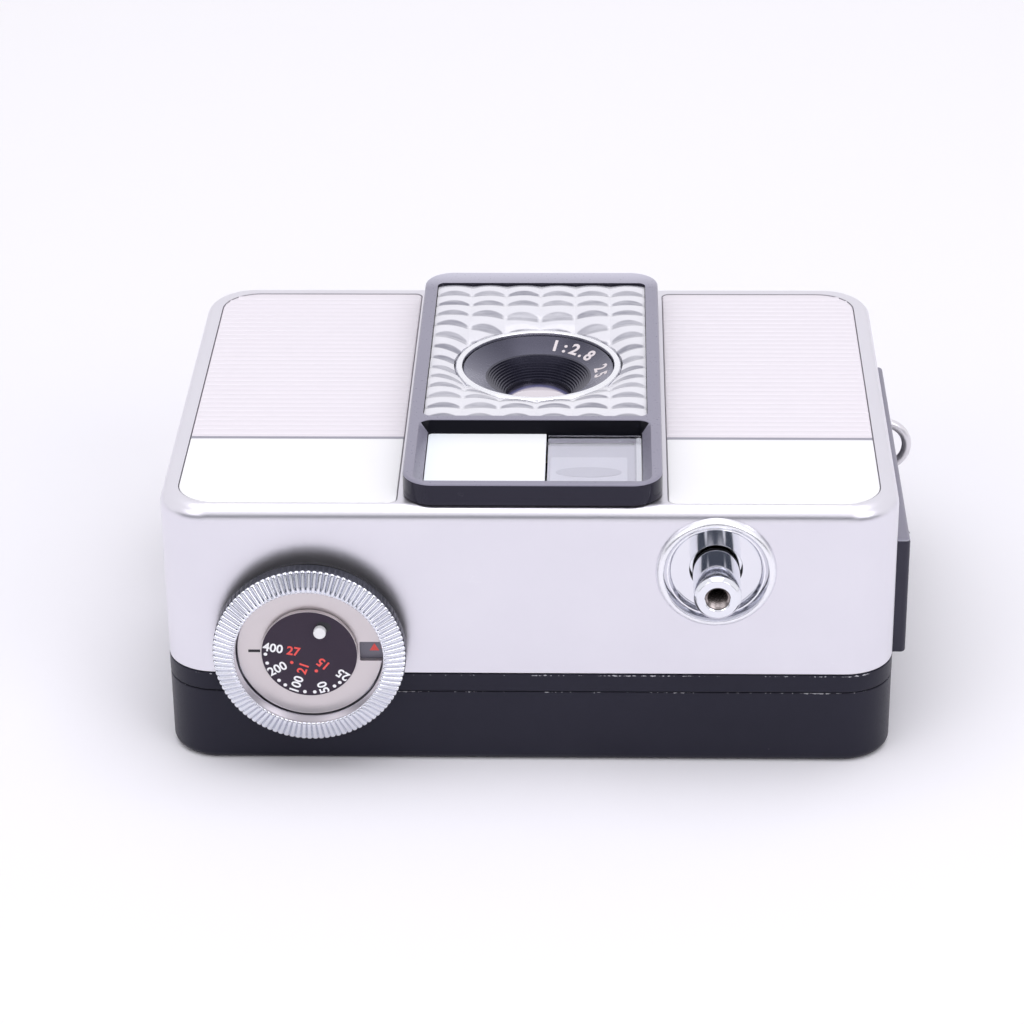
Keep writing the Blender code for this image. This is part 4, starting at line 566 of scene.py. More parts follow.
# Painted reflection: the black name ring is painted paler grey towards its near side.
NAME_BLACK_PAINTED_REFLECTION = Finish("name_ring_black_painted_reflection", "matt_black", (0.010, 0.0105, 0.021), (0.018, 0.018, 0.032), 0.26, 0.06,
    ior=1.60, fades=(((0.0, 1.0, 0.0), 12.5, 3.5, (0.15, 0.15, 0.19)), ((0.0, 1.0, 0.0), 5.0, -1.0,
    (0.30, 0.30, 0.35))), tint=BLUE_SHEEN, grain=3000.0, cloud=250.0, specks=0.06, speck_colour=(0.20, 0.20, 0.24),
    speck_size=0.06)
RIB_PALE = Finish("ribbed_plate", "ribbed_plate", (0.815, 0.775, 0.822), (0.80, 0.76, 0.807), 0.42, 0.08, 0.15,
    grain=5000.0, cloud=200.0)
RIB_ROOT = Finish("rib_grooves", "ribbed_plate", (0.80, 0.757, 0.803), (0.78, 0.737, 0.783), 0.50, 0.08, 0.1,
    grain=5000.0)
DIVIDER = Finish("panel_divider", "satin_silver", (0.36, 0.355, 0.41), (0.31, 0.305, 0.36), 0.40, 0.08, 0.3,
    grain=3000.0)
CHAMPAGNE = Finish("champagne", "champagne", (0.705, 0.655, 0.66), (0.665, 0.615, 0.62), 0.34, 0.06, 0.85,
    grain=6000.0, specks=0.04, speck_colour=(0.35, 0.30, 0.28), speck_size=0.05)
ENAMEL = Finish("white_enamel", "white_enamel", (0.93, 0.93, 0.94), (0.90, 0.90, 0.92), 0.22, 0.06, grain=2500.0,
    coat=0.3, specks=0.05, speck_colour=(0.55, 0.52, 0.54), speck_size=0.05, speck_scale=420.0)
WHITE_PLASTIC = Finish("white_plastic", "white_plastic", (0.90, 0.90, 0.90), (0.80, 0.80, 0.81), 0.45, 0.10,
    grain=3500.0, cloud=1500.0, bump=0.9)
CLEAR = Finish("clear_glass", "clear", (0.95, 0.955, 0.98), (0.93, 0.94, 0.97), 0.03, 0.02, clear=1.0, grain=1500.0)
# Painted shade: a darker crescent in each small lens, streaked with painted reflection.
FACETED = Finish("faceted_plastic", "clear", (0.82, 0.815, 0.86), (0.78, 0.775, 0.82), 0.10, 0.03, clear=0.06,
    coat=0.3, grain=1500.0, cloud=400.0, specks=0.06, speck_colour=(0.35, 0.35, 0.40), speck_size=0.06,
    speck_scale=500.0, cells=(-12.35, 24.48, 25.7 / 6, 37.85 / 13), lenslet_shade_colour=(0.27, 0.27, 0.32))
# Painted highlight: dark glass with a lavender band and an arched, pale pink highlight on its near part, standing in
# for reflections.
GLASS_PAINTED_HIGHLIGHT = Finish("glass_painted_highlight", "clear", (0.020, 0.018, 0.030), (0.014, 0.012, 0.022), 0.03, 0.02, ior=1.7, coat=0.5,
    grain=1200.0, fades=(((0.0, 1.0, 0.0), 7.5, 6.7, (0.13, 0.13, 0.26)), ((0.0, 1.0, 0.0), 6.6, 6.0,
    (0.70, 0.645, 0.685))), bow=(0.17, 0.5))
FROSTED = Finish("frosted", "frosted", (0.945, 0.96, 0.975), (0.93, 0.95, 0.965), 0.40, 0.08, grain=5000.0,
    fades=(((1.0, 0.0, 0.0), -8.0, -12.0, (0.90, 0.96, 1.0)),))
FINDER_GREY = Finish("finder_grey", "clear", (0.615, 0.60, 0.665), (0.57, 0.555, 0.625), 0.25, 0.06, grain=2000.0)
FINDER_MILK = Finish("finder_milk", "clear", (0.72, 0.705, 0.78), (0.68, 0.665, 0.74), 0.22, 0.06, grain=2000.0)
FINDER_PALE = Finish("finder_pale", "clear", (0.865, 0.85, 0.92), (0.82, 0.805, 0.875), 0.20, 0.06, grain=2000.0)
FINDER_EDGE = Finish("finder_edge", "clear", (0.95, 0.95, 0.98), (0.91, 0.91, 0.95), 0.20, 0.06, grain=2000.0)
SELENIUM = Finish("selenium", "selenium", (0.30, 0.30, 0.34), (0.22, 0.22, 0.26), 0.40, 0.10, 0.4, grain=3000.0)
SCALE_GREY = Finish("scale_grey", "matt_black", (0.21, 0.20, 0.245), (0.17, 0.165, 0.205), 0.30, 0.08, grain=3000.0)
STEEL = Finish("spring_steel", "spring_steel", (0.56, 0.54, 0.56), (0.46, 0.44, 0.46), 0.30, 0.10, 1.0, grain=3500.0,
    scratches=0.4, scratch_colour=(0.75, 0.74, 0.75))
LOOP_STEEL = Finish("loop_steel", "spring_steel", (0.82, 0.80, 0.83), (0.74, 0.72, 0.75), 0.36, 0.08, 0.85,
    grain=3500.0)
BRASS = Finish("brass", "brass", (0.72, 0.53, 0.24), (0.60, 0.42, 0.18), 0.32, 0.10, 1.0, grain=3000.0,
    scratches=0.35, scratch_colour=(0.85, 0.68, 0.38))
WHITE_INK = Finish("white_ink", "white_plastic", (0.94, 0.94, 0.95), (0.90, 0.90, 0.92), 0.50, 0.05)
PINK_INK = Finish("pale_ink", "white_plastic", (0.80, 0.74, 0.75), (0.70, 0.64, 0.66), 0.50, 0.05)
RED_INK = Finish("red_ink", "white_plastic", (0.93, 0.10, 0.085), (0.84, 0.085, 0.07), 0.50, 0.05)
# Black print, also used for painted shade under the dial's ring and the painted shadow of the peg.
BLACK_INK_AND_SHADE = Finish("black_ink_and_painted_shade", "gloss_black", (0.012, 0.012, 0.016), (0.020, 0.020, 0.024), 0.50, 0.05)


def outline(low: Pair, high: Pair, radii: Sequence[float], steps: int = 12) -> list[Pair]:
    """Return the points of a rounded rectangle, counterclockwise.

    Args:
        low: lowest X and Y.
        high: highest X and Y.
        radii: corner radii from the low corner round through high X.
        steps: arc steps in each corner.

    Returns:
        The points, with the same number for any radii.
    """
    corners = ((low[0], low[1], 1, 1, 180), (high[0], low[1], -1, 1, 270), (high[0], high[1], -1, -1, 0),
               (low[0], high[1], 1, -1, 90))
    points = []
    for radius, (x, y, sx, sy, first) in zip(radii, corners):
        radius = max(radius, 0.01)
        for i in range(steps + 1):
            angle = math.radians(first + 90.0 * i / steps)
            points.append((x + sx * radius + radius * math.cos(angle), y + sy * radius + radius * math.sin(angle)))
    return points


def loft(loops: Sequence[Sequence[Triple]]) -> Solid:
    """Return a closed solid through loops of equal length, from low to high.

    Args:
        loops: the loops of points.

    Returns:
        The solid.
    """
    bm = bmesh.new()
    rows = [[bm.verts.new(point) for point in loop] for loop in loops]
    count = len(rows[0])
    for a, b in zip(rows, rows[1:]):
        for i in range(count):
            j = (i + 1) % count
            bm.faces.new((a[i], a[j], b[j], b[i]))
    bm.faces.new(rows[0][::-1])
    bm.faces.new(rows[-1])
    return bm


def slab(low: Triple, high: Triple, radii: Sequence[float] = (0.0, 0.0, 0.0, 0.0), top: float = 0.0,
         under: float = 0.0, steps: int = 12, rim: int = 6) -> Solid:
    """Return a block with rounded upright corners and rounded rims.

    Args:
        low: lowest corner.
        high: highest corner.
        radii: the four upright corner radii.
        top: radius of the upper rim.
        under: radius of the lower rim.
        steps: arc steps in each upright corner.
        rim: arc steps in a rim.

    Returns:
        The solid.
    """
    levels: list[Pair] = []
    if under > 0.0:
        for i in range(rim):
            angle = math.pi / 2 * i / rim
            levels.append((under * (1 - math.sin(angle)), low[2] + under * (1 - math.cos(angle))))
    levels.append((0.0, low[2] + under))
    levels.append((0.0, high[2] - top))
    if top > 0.0:
        for i in range(1, rim + 1):
            angle = math.pi / 2 * i / rim
            levels.append((top * (1 - math.cos(angle)), high[2] - top + top * math.sin(angle)))
    loops = []
    for inset, z in levels:
        ring = outline((low[0] + inset, low[1] + inset), (high[0] - inset, high[1] - inset),
                       [max(radius - inset, 0.0) for radius in radii], steps)
        loops.append([(x, y, z) for x, y in ring])
    return loft(loops)


def eased(points: Sequence[Triple], closed: bool = False, steps: int = 5) -> list[Pair]:
    """Round the corners of a profile.

    Args:
        points: radius, height and corner rounding of each point.
        closed: whether the profile is a loop.
        steps: steps in each rounded corner.

    Returns:
        The profile as radius and height.
    """
    out: list[Pair] = []
    for i, (radius, height, ease) in enumerate(points):
        here = Vector((radius, height))
        if ease <= 0.0 or (not closed and i in (0, len(points) - 1)):
            out.append((radius, height))
            continue
        first = here + (Vector(points[i - 1][:2]) - here).normalized() * ease
        last = here + (Vector(points[(i + 1) % len(points)][:2]) - here).normalized() * ease
        for k in range(steps + 1):
            t = k / steps
            spot = first * (1 - t) ** 2 + here * (2 * t * (1 - t)) + last * t * t
            out.append((spot.x, spot.y))
    return out


def turned(profile: Sequence[Pair], place: Matrix, steps: int = 96, closed: bool = False) -> Solid:
    """Return a turned solid.

    Args:
        profile: radius and height of each point; an open profile starts and ends on the axis.
        place: the placement of the axis.
        steps: steps round the axis.
        closed: whether the profile is a loop.

    Returns:
        The solid.
    """
    bm = bmesh.new()
    turn = [(math.cos(2 * math.pi * i / steps), math.sin(2 * math.pi * i / steps)) for i in range(steps)]
    rings = []
    for radius, height in profile:
        spots = turn if radius > 1e-6 else [(0.0, 0.0)]
        rings.append([bm.verts.new((radius * c, radius * s, height)) for c, s in spots])
    for a, b in list(zip(rings, rings[1:])) + ([(rings[-1], rings[0])] if closed else []):
        for i in range(steps):
            j = (i + 1) % steps
            corners = (a[i % len(a)], b[i % len(b)], b[j % len(b)], a[j % len(a)])
            face = tuple(dict.fromkeys(corners))
            if len(face) > 2:
                bm.faces.new(face)
    bmesh.ops.recalc_face_normals(bm, faces=bm.faces)
    bm.transform(place)
    return bm


def drill(x: float, y: float, z: float, radius: float, depth: Pair, axis: Axis, steps: int = 64) -> Solid:
    """Return a plain round tool for a Boolean cut."""
    low, high = depth
    return turned([(0.0, high), (radius, high), (radius, low), (0.0, low)], axis.at(x, y, z), steps)


class Workshop:
    """Turns solids into finished pieces that ride on the frame's bodies.

    Attributes:
        figure_share: height of a figure as a share of the font's size.
        ink: half the thickness of a figure.
    """

    figure_share = 0.70
    ink = 0.008

    def __init__(self) -> None:
        """Start with no piece made."""
        self.made: list[str] = []
        self.dressed: set[str] = set()

    @staticmethod
    def _temporary(bm: Solid) -> bpy.types.Object:
        """Put a solid into an object of its own.

        Args:
            bm: the solid, which is used up.

        Returns:
            The linked object.
        """
        mesh = bpy.data.meshes.new("shape")
        bm.to_mesh(mesh)
        bm.free()
        return linked("shape", mesh)

    @staticmethod
    def _taken(thing: bpy.types.Object) -> bpy.types.Mesh:
        """Take the evaluated mesh of an object.

        Args:
            thing: the object, which is removed.

        Returns:
            The mesh.
        """
        graph = bpy.context.evaluated_depsgraph_get()
        mesh = bpy.data.meshes.new_from_object(thing.evaluated_get(graph), preserve_all_data_layers=True,
                                               depsgraph=graph)
        bpy.data.objects.remove(thing, do_unlink=True)
        return mesh

    def carve(self, solid: Solid, *tools: Solid, join: bool = False) -> Solid:
        """Cut tools out of a solid, or join them to it.

        Args:
            solid: the solid, which is used up.
            tools: the tools, which are used up.
            join: whether the tools are added instead of cut away.

        Returns:
            The new solid.
        """
        target = self._temporary(solid)
        helpers = [self._temporary(tool) for tool in tools]
        for helper in helpers:
            modifier = target.modifiers.new("carve", "BOOLEAN")
            modifier.operation = "UNION" if join else "DIFFERENCE"
            modifier.solver = "EXACT"
            modifier.object = helper
        out = opened(self._taken(target))
        for helper in helpers:
            bpy.data.objects.remove(helper, do_unlink=True)
        bmesh.ops.remove_doubles(out, verts=out.verts, dist=1e-4)
        return out

    def piece(self, name: str, solid: Solid, finishes: Finish | Sequence[Finish], replaces: Sequence[str] = (),
              body: str = "camera_body", sharp: float = 32.0,
              choose: Optional[Callable[[Any], int]] = None) -> None:
        """Finish a solid as a piece that rides on a body.

        Args:
            name: name of the piece.
            solid: the solid in millimetres, which is used up.
            finishes: its finish, or several of which choose picks one for each face.
            replaces: CAD nodes that it stands for.
            body: the body that it rides on.
            sharp: angle in degrees above which an edge stays sharp.
            choose: gives the number of a face's finish.
        """
        finishes = [finishes] if isinstance(finishes, Finish) else list(finishes)
        solid.normal_update()
        for face in solid.faces:
            face.material_index = choose(face) if choose else 0
        mesh = bpy.data.meshes.new(name)
        solid.to_mesh(mesh)
        solid.free()
        mesh.transform(Matrix.Scale(MM, 4))
        for finish in finishes:
            mesh.materials.append(finish.material())
        mesh.shade_smooth()
        mesh.set_sharp_from_angle(angle=math.radians(sharp))
        thing = linked(name, mesh)
        weighted = thing.modifiers.new("even_normals", "WEIGHTED_NORMAL")
        weighted.keep_sharp = True
        weighted.weight = 50
        final = self._taken(thing)
        final.name = name
        thing = linked(name, final)
        if replaces:
            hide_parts(*replaces)
            self.dressed.update(replaces)
        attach(thing, body)
        self.made.append(name)
        LOG.info("%s rides on %s with %d faces", name, body, len(final.polygons))

    def dress(self, finish: Finish, *nodes: str) -> None:
        """Give CAD nodes that stay in view a finish.

        Args:
            finish: the finish.
            nodes: the nodes.
        """
        for node in nodes:
            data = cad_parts[node].data
            data.materials.clear()
            data.materials.append(finish.material())
            self.dressed.add(node)

    def figures(self, text: str, size: float, heavy: float = 0.0) -> Solid:
        """Return flat figures, centred on the origin, as a thin solid.

        Args:
            text: the figures.
            size: height of a figure.
            heavy: how much the strokes are thickened.

        Returns:
            The solid.
        """
        curve = bpy.data.curves.new("figures", "FONT")
        curve.body = text
        curve.size = size / self.figure_share
        curve.align_x = "CENTER"
        curve.align_y = "CENTER"
        curve.extrude = self.ink
        curve.offset = heavy
        curve.resolution_u = 4
        out = opened(self._taken(linked("figures", curve)))
        bmesh.ops.remove_doubles(out, verts=out.verts, dist=1e-5)
        return out

    @staticmethod
    def gather(solids: Sequence[Solid]) -> Solid:
        """Hold several solids as one.

        Args:
            solids: the solids, which are used up.

        Returns:
            One bmesh that holds them all.
        """
        out = bmesh.new()
        for solid in solids:
            mesh = bpy.data.meshes.new("part")
            solid.to_mesh(mesh)
            solid.free()
            out.from_mesh(mesh)
            bpy.data.meshes.remove(mesh)
        return out


SHOP = Workshop()


class Pattern(Nodes):
    """A Geometry Nodes tree with named inputs, built in the script."""

    def __init__(self, name: str, numbers: str, counts: str = "", geometry: bool = False) -> None:
        """Start the tree.

        Args:
            name: its name.
            numbers: labels of its number inputs.
            counts: labels of its whole number inputs.
            geometry: whether it starts from the object's own mesh.
        """
        super().__init__(bpy.data.node_groups.new(name, "GeometryNodeTree"))
        face = self.tree.interface
        if geometry:
            face.new_socket("Geometry", in_out="INPUT", socket_type="NodeSocketGeometry")
        kinds = {label: "Float" for label in numbers.split()} | {label: "Int" for label in counts.split()}
        kinds["Material"] = "Material"
        self.keys = {label: face.new_socket(label, in_out="INPUT", socket_type="NodeSocket" + kind).identifier
                     for label, kind in kinds.items()}
        face.new_socket("Geometry", in_out="OUTPUT", socket_type="NodeSocketGeometry")
        start = self.add("NodeGroupInput")
        self.given = {label: self.value(start, label) for label in kinds}
        self.base = start.outputs["Geometry"] if geometry else None

    def geo(self, kind: str, inputs: Optional[dict[str, Any]] = None, **settings: Any) -> Any:
        """Add a geometry node and return its first output."""
        return self.add("GeometryNode" + kind, inputs, **settings).outputs[0]

    def close(self, geometry: Any) -> "Pattern":
        """End the tree: realise what it holds and set the material.

        Args:
            geometry: the socket of what it has made.

        Returns:
            The pattern.
        """
        real = self.geo("RealizeInstances", {"Geometry": geometry})
        paint = self.geo("SetMaterial", {"Geometry": real, "Material": self.given["Material"]})
        self.add("NodeGroupOutput", {"Geometry": paint})
        return self

    def run(self, values: dict[str, Any], finish: Finish, base: Optional[Solid] = None) -> Solid:
        """Run the tree.

        Args:
            values: values of the named inputs.
            finish: the finish that the tree sets.
            base: the solid that the tree starts from, which is used up.

        Returns:
            What it makes.
        """
        mesh = bpy.data.meshes.new("pattern")
        if base is not None:
            base.to_mesh(mesh)
            base.free()
        thing = linked("pattern", mesh)
        modifier = thing.modifiers.new("pattern", "NODES")
        modifier.node_group = self.tree
        for label, value in {**values, "Material": finish.material()}.items():
            modifier[self.keys[label]] = value
        graph = bpy.context.evaluated_depsgraph_get()
        out = bpy.data.meshes.new_from_object(thing.evaluated_get(graph), depsgraph=graph)
        thing.modifiers.remove(modifier)
        bpy.data.objects.remove(thing, do_unlink=True)
        return opened(out)


def rib_pattern() -> Pattern:
    """Build the tree of half round ribs that stop at a plate's rounded far corners.

    Returns:
        The tree.
    """
    tree = Pattern("panel_ribs", "Left Right Near Far Pitch Width Height Level LeftCorner RightCorner", "Count")
    given = tree.given
    first = tree.join(0.0, given["Near"] + given["Pitch"] * 0.5, given["Level"])
    line = tree.geo("MeshLine", {"Count": given["Count"], "Start Location": first,
                                 "Offset": tree.join(0.0, given["Pitch"], 0.0)})
    _, y, _ = tree.split(tree.geo("InputPosition"))
    ends = []
    for corner in (given["LeftCorner"], given["RightCorner"]):
        into = (corner - (given["Far"] - y)).math("MAXIMUM", 0.0)
        ends.append(corner - (corner * corner - into * into).math("SQRT"))
    left, right = given["Left"] + ends[0], given["Right"] - ends[1]
    points = tree.geo("SetPosition", {"Geometry": line, "Offset": tree.join((left + right) * 0.5, 0.0, 0.0)})
    bar = tree.geo("MeshCylinder", {"Vertices": 12, "Radius": 1.0, "Depth": 1.0})
    lying = tree.geo("Transform", {"Geometry": bar, "Rotation": (0.0, math.pi / 2, 0.0)})
    size = tree.join(right - left, given["Width"], given["Height"])
    return tree.close(tree.geo("InstanceOnPoints", {"Points": points, "Instance": lying, "Scale": size}))


def facet_pattern() -> Pattern:
    """Build the tree of a plate's upper face, made of rows of small bulging lenses and dished round a hole.

    Returns:
        The tree.
    """
    tree = Pattern("lens_facets", "Width Length Bulge Share Level MiddleX MiddleY DishX DishY DishRadius DishWidth "
                   "DishDepth", "Columns Rows FineX FineY")
    given = tree.given
    grid = tree.geo("MeshGrid", {"Size X": given["Width"], "Size Y": given["Length"],
                                 "Vertices X": given["Columns"] * given["FineX"] + 1.0,
                                 "Vertices Y": given["Rows"] * given["FineY"] + 1.0})
    x, y, _ = tree.split(tree.geo("InputPosition"))
    sags = []
    for place, size, count in ((x, "Width", "Columns"), (y, "Length", "Rows")):
        off = ((place / given[size] + 0.5) * given[count]).math("FRACT") * 2.0 - 1.0
        sags.append(off * off)
    drop = sags[0] * given["Share"] + sags[1] * (1.0 - given["Share"])
    rise = given["Bulge"] * (1.0 - drop)
    right, up = x + given["MiddleX"], y + given["MiddleY"]
    square = (right - given["DishX"]).math("POWER", 2.0) + (up - given["DishY"]).math("POWER", 2.0)
    outside = (square.math("SQRT") - given["DishRadius"]) / given["DishWidth"]
    sunk = (1.0 - outside).held().math("POWER", 2.0) * given["DishDepth"]
    place = tree.join(right, up, given["Level"] + rise - sunk)
    return tree.close(tree.geo("SetPosition", {"Geometry": grid, "Position": place}))


def knurl_pattern() -> Pattern:
    """Build the tree that cuts grooves into a turned mesh wherever its knurl attribute is above zero.

    Returns:
        The tree.
    """
    tree = Pattern("knurl", "Teeth Depth Flat", geometry=True)
    given = tree.given
    x, y, _ = tree.split(tree.geo("InputPosition"))
    turn = y.math("ARCTAN2", x) / (2 * math.pi)
    away = abs(((turn + 1.0) * given["Teeth"]).math("FRACT") * 2.0 - 1.0)
    slope = ((away - given["Flat"]) / (1.0 - given["Flat"])).held()
    depth = slope * given["Depth"] * tree.geo("InputNamedAttribute", {"Name": "knurl"}, data_type="FLOAT")
    inward = tree.add("ShaderNodeVectorMath", {0: tree.geo("InputNormal"), "Scale": depth * -1.0}, operation="SCALE")
    return tree.close(tree.geo("SetPosition", {"Geometry": tree.base, "Offset": inward.outputs[0]}))


def dot_pattern() -> Pattern:
    """Build the tree of small low domes on the points of a mesh.

    Returns:
        The tree.
    """
    tree = Pattern("dots", "Radius Height", "Sides", geometry=True)
    dome = tree.geo("MeshUVSphere", {"Segments": tree.given["Sides"], "Rings": 6, "Radius": 1.0})
    size = tree.join(tree.given["Radius"], tree.given["Radius"], tree.given["Height"])
    return tree.close(tree.geo("InstanceOnPoints", {"Points": tree.base, "Instance": dome, "Scale": size}))


def screw_pattern() -> Pattern:
    """Build the tree of slotted screw heads on the points of a mesh, each with its slot turned.

    Returns:
        The tree.
    """
    tree = Pattern("screw_heads", "Radius Height Slot Turn", geometry=True)
    radius, height, slot, turn = (tree.given[label] for label in ("Radius", "Height", "Slot", "Turn"))

    def raised(solid: Any, share: float, **more: Any) -> Any:
        """Move a solid up by a share of the head's height."""
        return tree.geo("Transform", {"Geometry": solid, "Translation": tree.join(0.0, 0.0, height * share), **more})

    head = tree.geo("MeshCylinder", {"Vertices": 40, "Radius": radius, "Depth": height})
    crown = tree.geo("MeshCone", {"Vertices": 40, "Radius Top": radius * 0.8, "Radius Bottom": radius,
                                  "Depth": height * 0.35})
    bar = tree.geo("MeshCube", {"Size": tree.join(radius * 3.0, slot, height)})
    whole = tree.geo("MeshBoolean", {"Mesh": raised(head, 0.325, Scale=(1.0, 1.0, 0.65)),
                                     "Mesh 2": raised(crown, 0.65)}, operation="UNION")
    made = tree.geo("MeshBoolean", {"Mesh 1": whole, "Mesh 2": raised(bar, 1.05)}, operation="DIFFERENCE")
    return tree.close(tree.geo("InstanceOnPoints", {"Points": tree.base, "Instance": made, "Rotation": tree.join(
        0.0, 0.0, turn * tree.geo("InputIndex"))}))


def points_mesh(points: Iterable[Triple]) -> Solid:
    """Hold loose points as a bmesh.

    Args:
        points: the points.

    Returns:
        The bmesh.
    """
    bm = bmesh.new()
    for point in points:
        bm.verts.new(point)
    return bm


def knurled(profile: Sequence[Triple], teeth: int, depth: float, flat: float, finish: Finish, place: Matrix,
            closed: bool) -> Solid:
    """Return a turned solid with grooves where the profile says so.

    Args:
        profile: radius, height and share of the groove depth of each point.
        teeth: number of grooves.
        depth: depth of a groove.
        flat: share of each tooth that stays flat.
        finish: the finish.
        place: the placement of the axis.
        closed: whether the profile is a loop.

    Returns:
        The solid.
    """
    steps_per_tooth = 8
    bm = turned([(radius, height) for radius, height, _ in profile], Matrix(), teeth * steps_per_tooth, closed)
    layer = bm.verts.layers.float.new("knurl")
    shares = {(round(radius, 4), round(height, 4)): share for radius, height, share in profile}
    for vert in bm.verts:
        spot = (round(math.hypot(vert.co.x, vert.co.y), 4), round(vert.co.z, 4))
        vert[layer] = shares.get(spot, 0.0)
    out = knurl_pattern().run({"Teeth": float(teeth), "Depth": depth, "Flat": flat}, finish, bm)
    out.transform(place)
    return out


@dataclass
class Casing:
    """Silver front cover, black flange band and black back door."""

    half: Pair = (41.5, 30.75)
    corner: float = 5.8
    cover: Pair = (11.55, 32.5)
    flange: Pair = (9.25, 11.45)
    door_top: float = 9.1
    front_edge: float = 1.8
    door_edge: float = 1.0
    cover_wall: float = 1.0
    door_wall: float = 1.5
    hinge: Pair = (42.475, 10.2)
    panel: tuple[Pair, Pair] = ((-36.5, -15.0), (36.5, 26.5))

    def block(self, low: float, high: float, top: float, under: float, shrink: float = 0.0) -> Solid:
        """Return a rounded block as wide as the camera, less a shrink on all sides."""
        x, y = self.half[0] - shrink, self.half[1] - shrink
        return slab((-x, -y, low), (x, y, high), [self.corner - shrink] * 4, top, under, steps=18, rim=8)

    def build(self) -> None:
        """Build and finish the casing."""
        self._cover()
        self._flange()
        self._door()

    def _cover(self) -> None:
        """Drawn shell with pockets for the panels and holes for all that passes through it."""
        tools = [self.block(0.0, self.cover[1] - self.cover_wall, 0.4, 0.0, self.cover_wall)]
        pockets = ((-39.42, -14.53, (4.52, 1.0, 1.0, 4.52)), (15.53, 39.42, (1.0, 4.52, 4.52, 1.0)))
        for left, right, radii in pockets:
            tools.append(slab((left, -29.27, 32.05), (right, 28.27, 40.0), radii))
        meter_opening = slab((-11.5, -11.65, 20.0), (12.5, 24.5, 40.0))
        finder_opening = slab((-10.9, -27.65, 20.0), (11.9, -15.0, 40.0))
        tools += [meter_opening, finder_opening]
        for centre, radius in ((SpeedDial.centre, 2.7), (ReleaseButton.centre, 5.65)):
            tools.append(drill(*centre, radius, (-2.0, 1.0), Axis.TOP))
        base = BaseFittings
        for (x, z), radius in ((base.wind, 2.1), (base.rewind, 2.1), (base.tripod, 4.9), (base.button, 2.5),
                               (base.counter, 3.1)):
            tools.append(drill(x, self.half[1], z, radius, (-2.0, 2.0), Axis.BASE))
        shell = SHOP.carve(self.block(*self.cover, self.front_edge, 0.12), *tools)

        def gap(face: Any) -> int:
            """Pick the painted shade, a darker grey, for the walls and floors of the panels' pockets."""
            spot, up = face.calc_center_median(), face.normal.z
            return int(abs(spot.x) < 39.6 and 0.03 < self.cover[1] - spot.z < 0.5 and (abs(up) < 0.02 or up > 0.995))

        SHOP.piece("front_cover_shell", shell, (SILVER, POCKET_PAINTED_SHADE), ["front_cover"], choose=gap)

    def _flange(self) -> None:
        """Smooth outer band on the flange of the casting."""
        proud = -0.02
        band = self.block(self.flange[0] - 0.02, self.flange[1] + 0.02, 0.15, 0.15, proud)
        x, y = self.half[0] - 0.9, self.half[1] - 0.9
        inner = slab((-x, -y, 0.0), (x, y, 20.0), [self.corner - 0.9] * 4, steps=18)
        SHOP.piece("flange_band", SHOP.carve(band, inner), BLACK_CAST)

    def _door(self) -> None:
        """Deep tray with its hinge knuckle, eyepiece opening and latch slot."""
        tray = self.block(0.0, self.door_top, 0.15, self.door_edge)
        hollow = self.block(self.door_wall, 20.0, 0.0, 0.5, self.door_wall)
        tray = SHOP.carve(tray, hollow)
        x, z = self.hinge
        pad = slab((40.8, -8.0, 6.1), (43.35, 8.0, 9.1), under=0.3)
        web = slab((41.6, -8.0, 7.6), (43.35, 8.0, 10.2))
        knuckle = drill(x, 0.0, z, 0.85, (-8.0, 8.0), Axis.BASE, 40)
        tray = SHOP.carve(tray, pad, web, knuckle, join=True)
        pin = drill(x, 0.0, z, 0.48, (-9.0, 9.0), Axis.BASE, 32)
        eyepiece = slab((1.9, -26.75, -5.0), (13.3, -17.75, 5.0), [2.4] * 4)
        slot = slab((-45.0, 4.3, 4.0), (-39.85, 10.7, 5.6))
        (x0, y0), (x1, y1) = self.panel
        wide = 0.6
        line = SHOP.carve(slab((x0, y0, -1.0), (x1, y1, 0.25), [3.0] * 4),
                          slab((x0 + wide, y0 + wide, -2.0), (x1 - wide, y1 - wide, 1.0), [3.0 - wide] * 4))

        def shade(face: Any) -> int:
            """Pick plain paint for the rim and floor of the tray, and grain for the panel on its back.

            Args:
                face: the face.

            Returns:
                Number of the finish.
            """
            if face.normal.z > 0.9:
                return 1
            inside = all(x0 + wide / 2 < v.co.x < x1 - wide / 2 and y0 + wide / 2 < v.co.y < y1 - wide / 2
                         for v in face.verts)
            return 2 * int(face.normal.z < -0.9 and inside)

        SHOP.piece("back_door_tray", SHOP.carve(tray, pin, eyepiece, slot, line), (BLACK_CAST, BLACK_PAINT, GRAINED),
                   ["back_door"], "door", choose=shade)


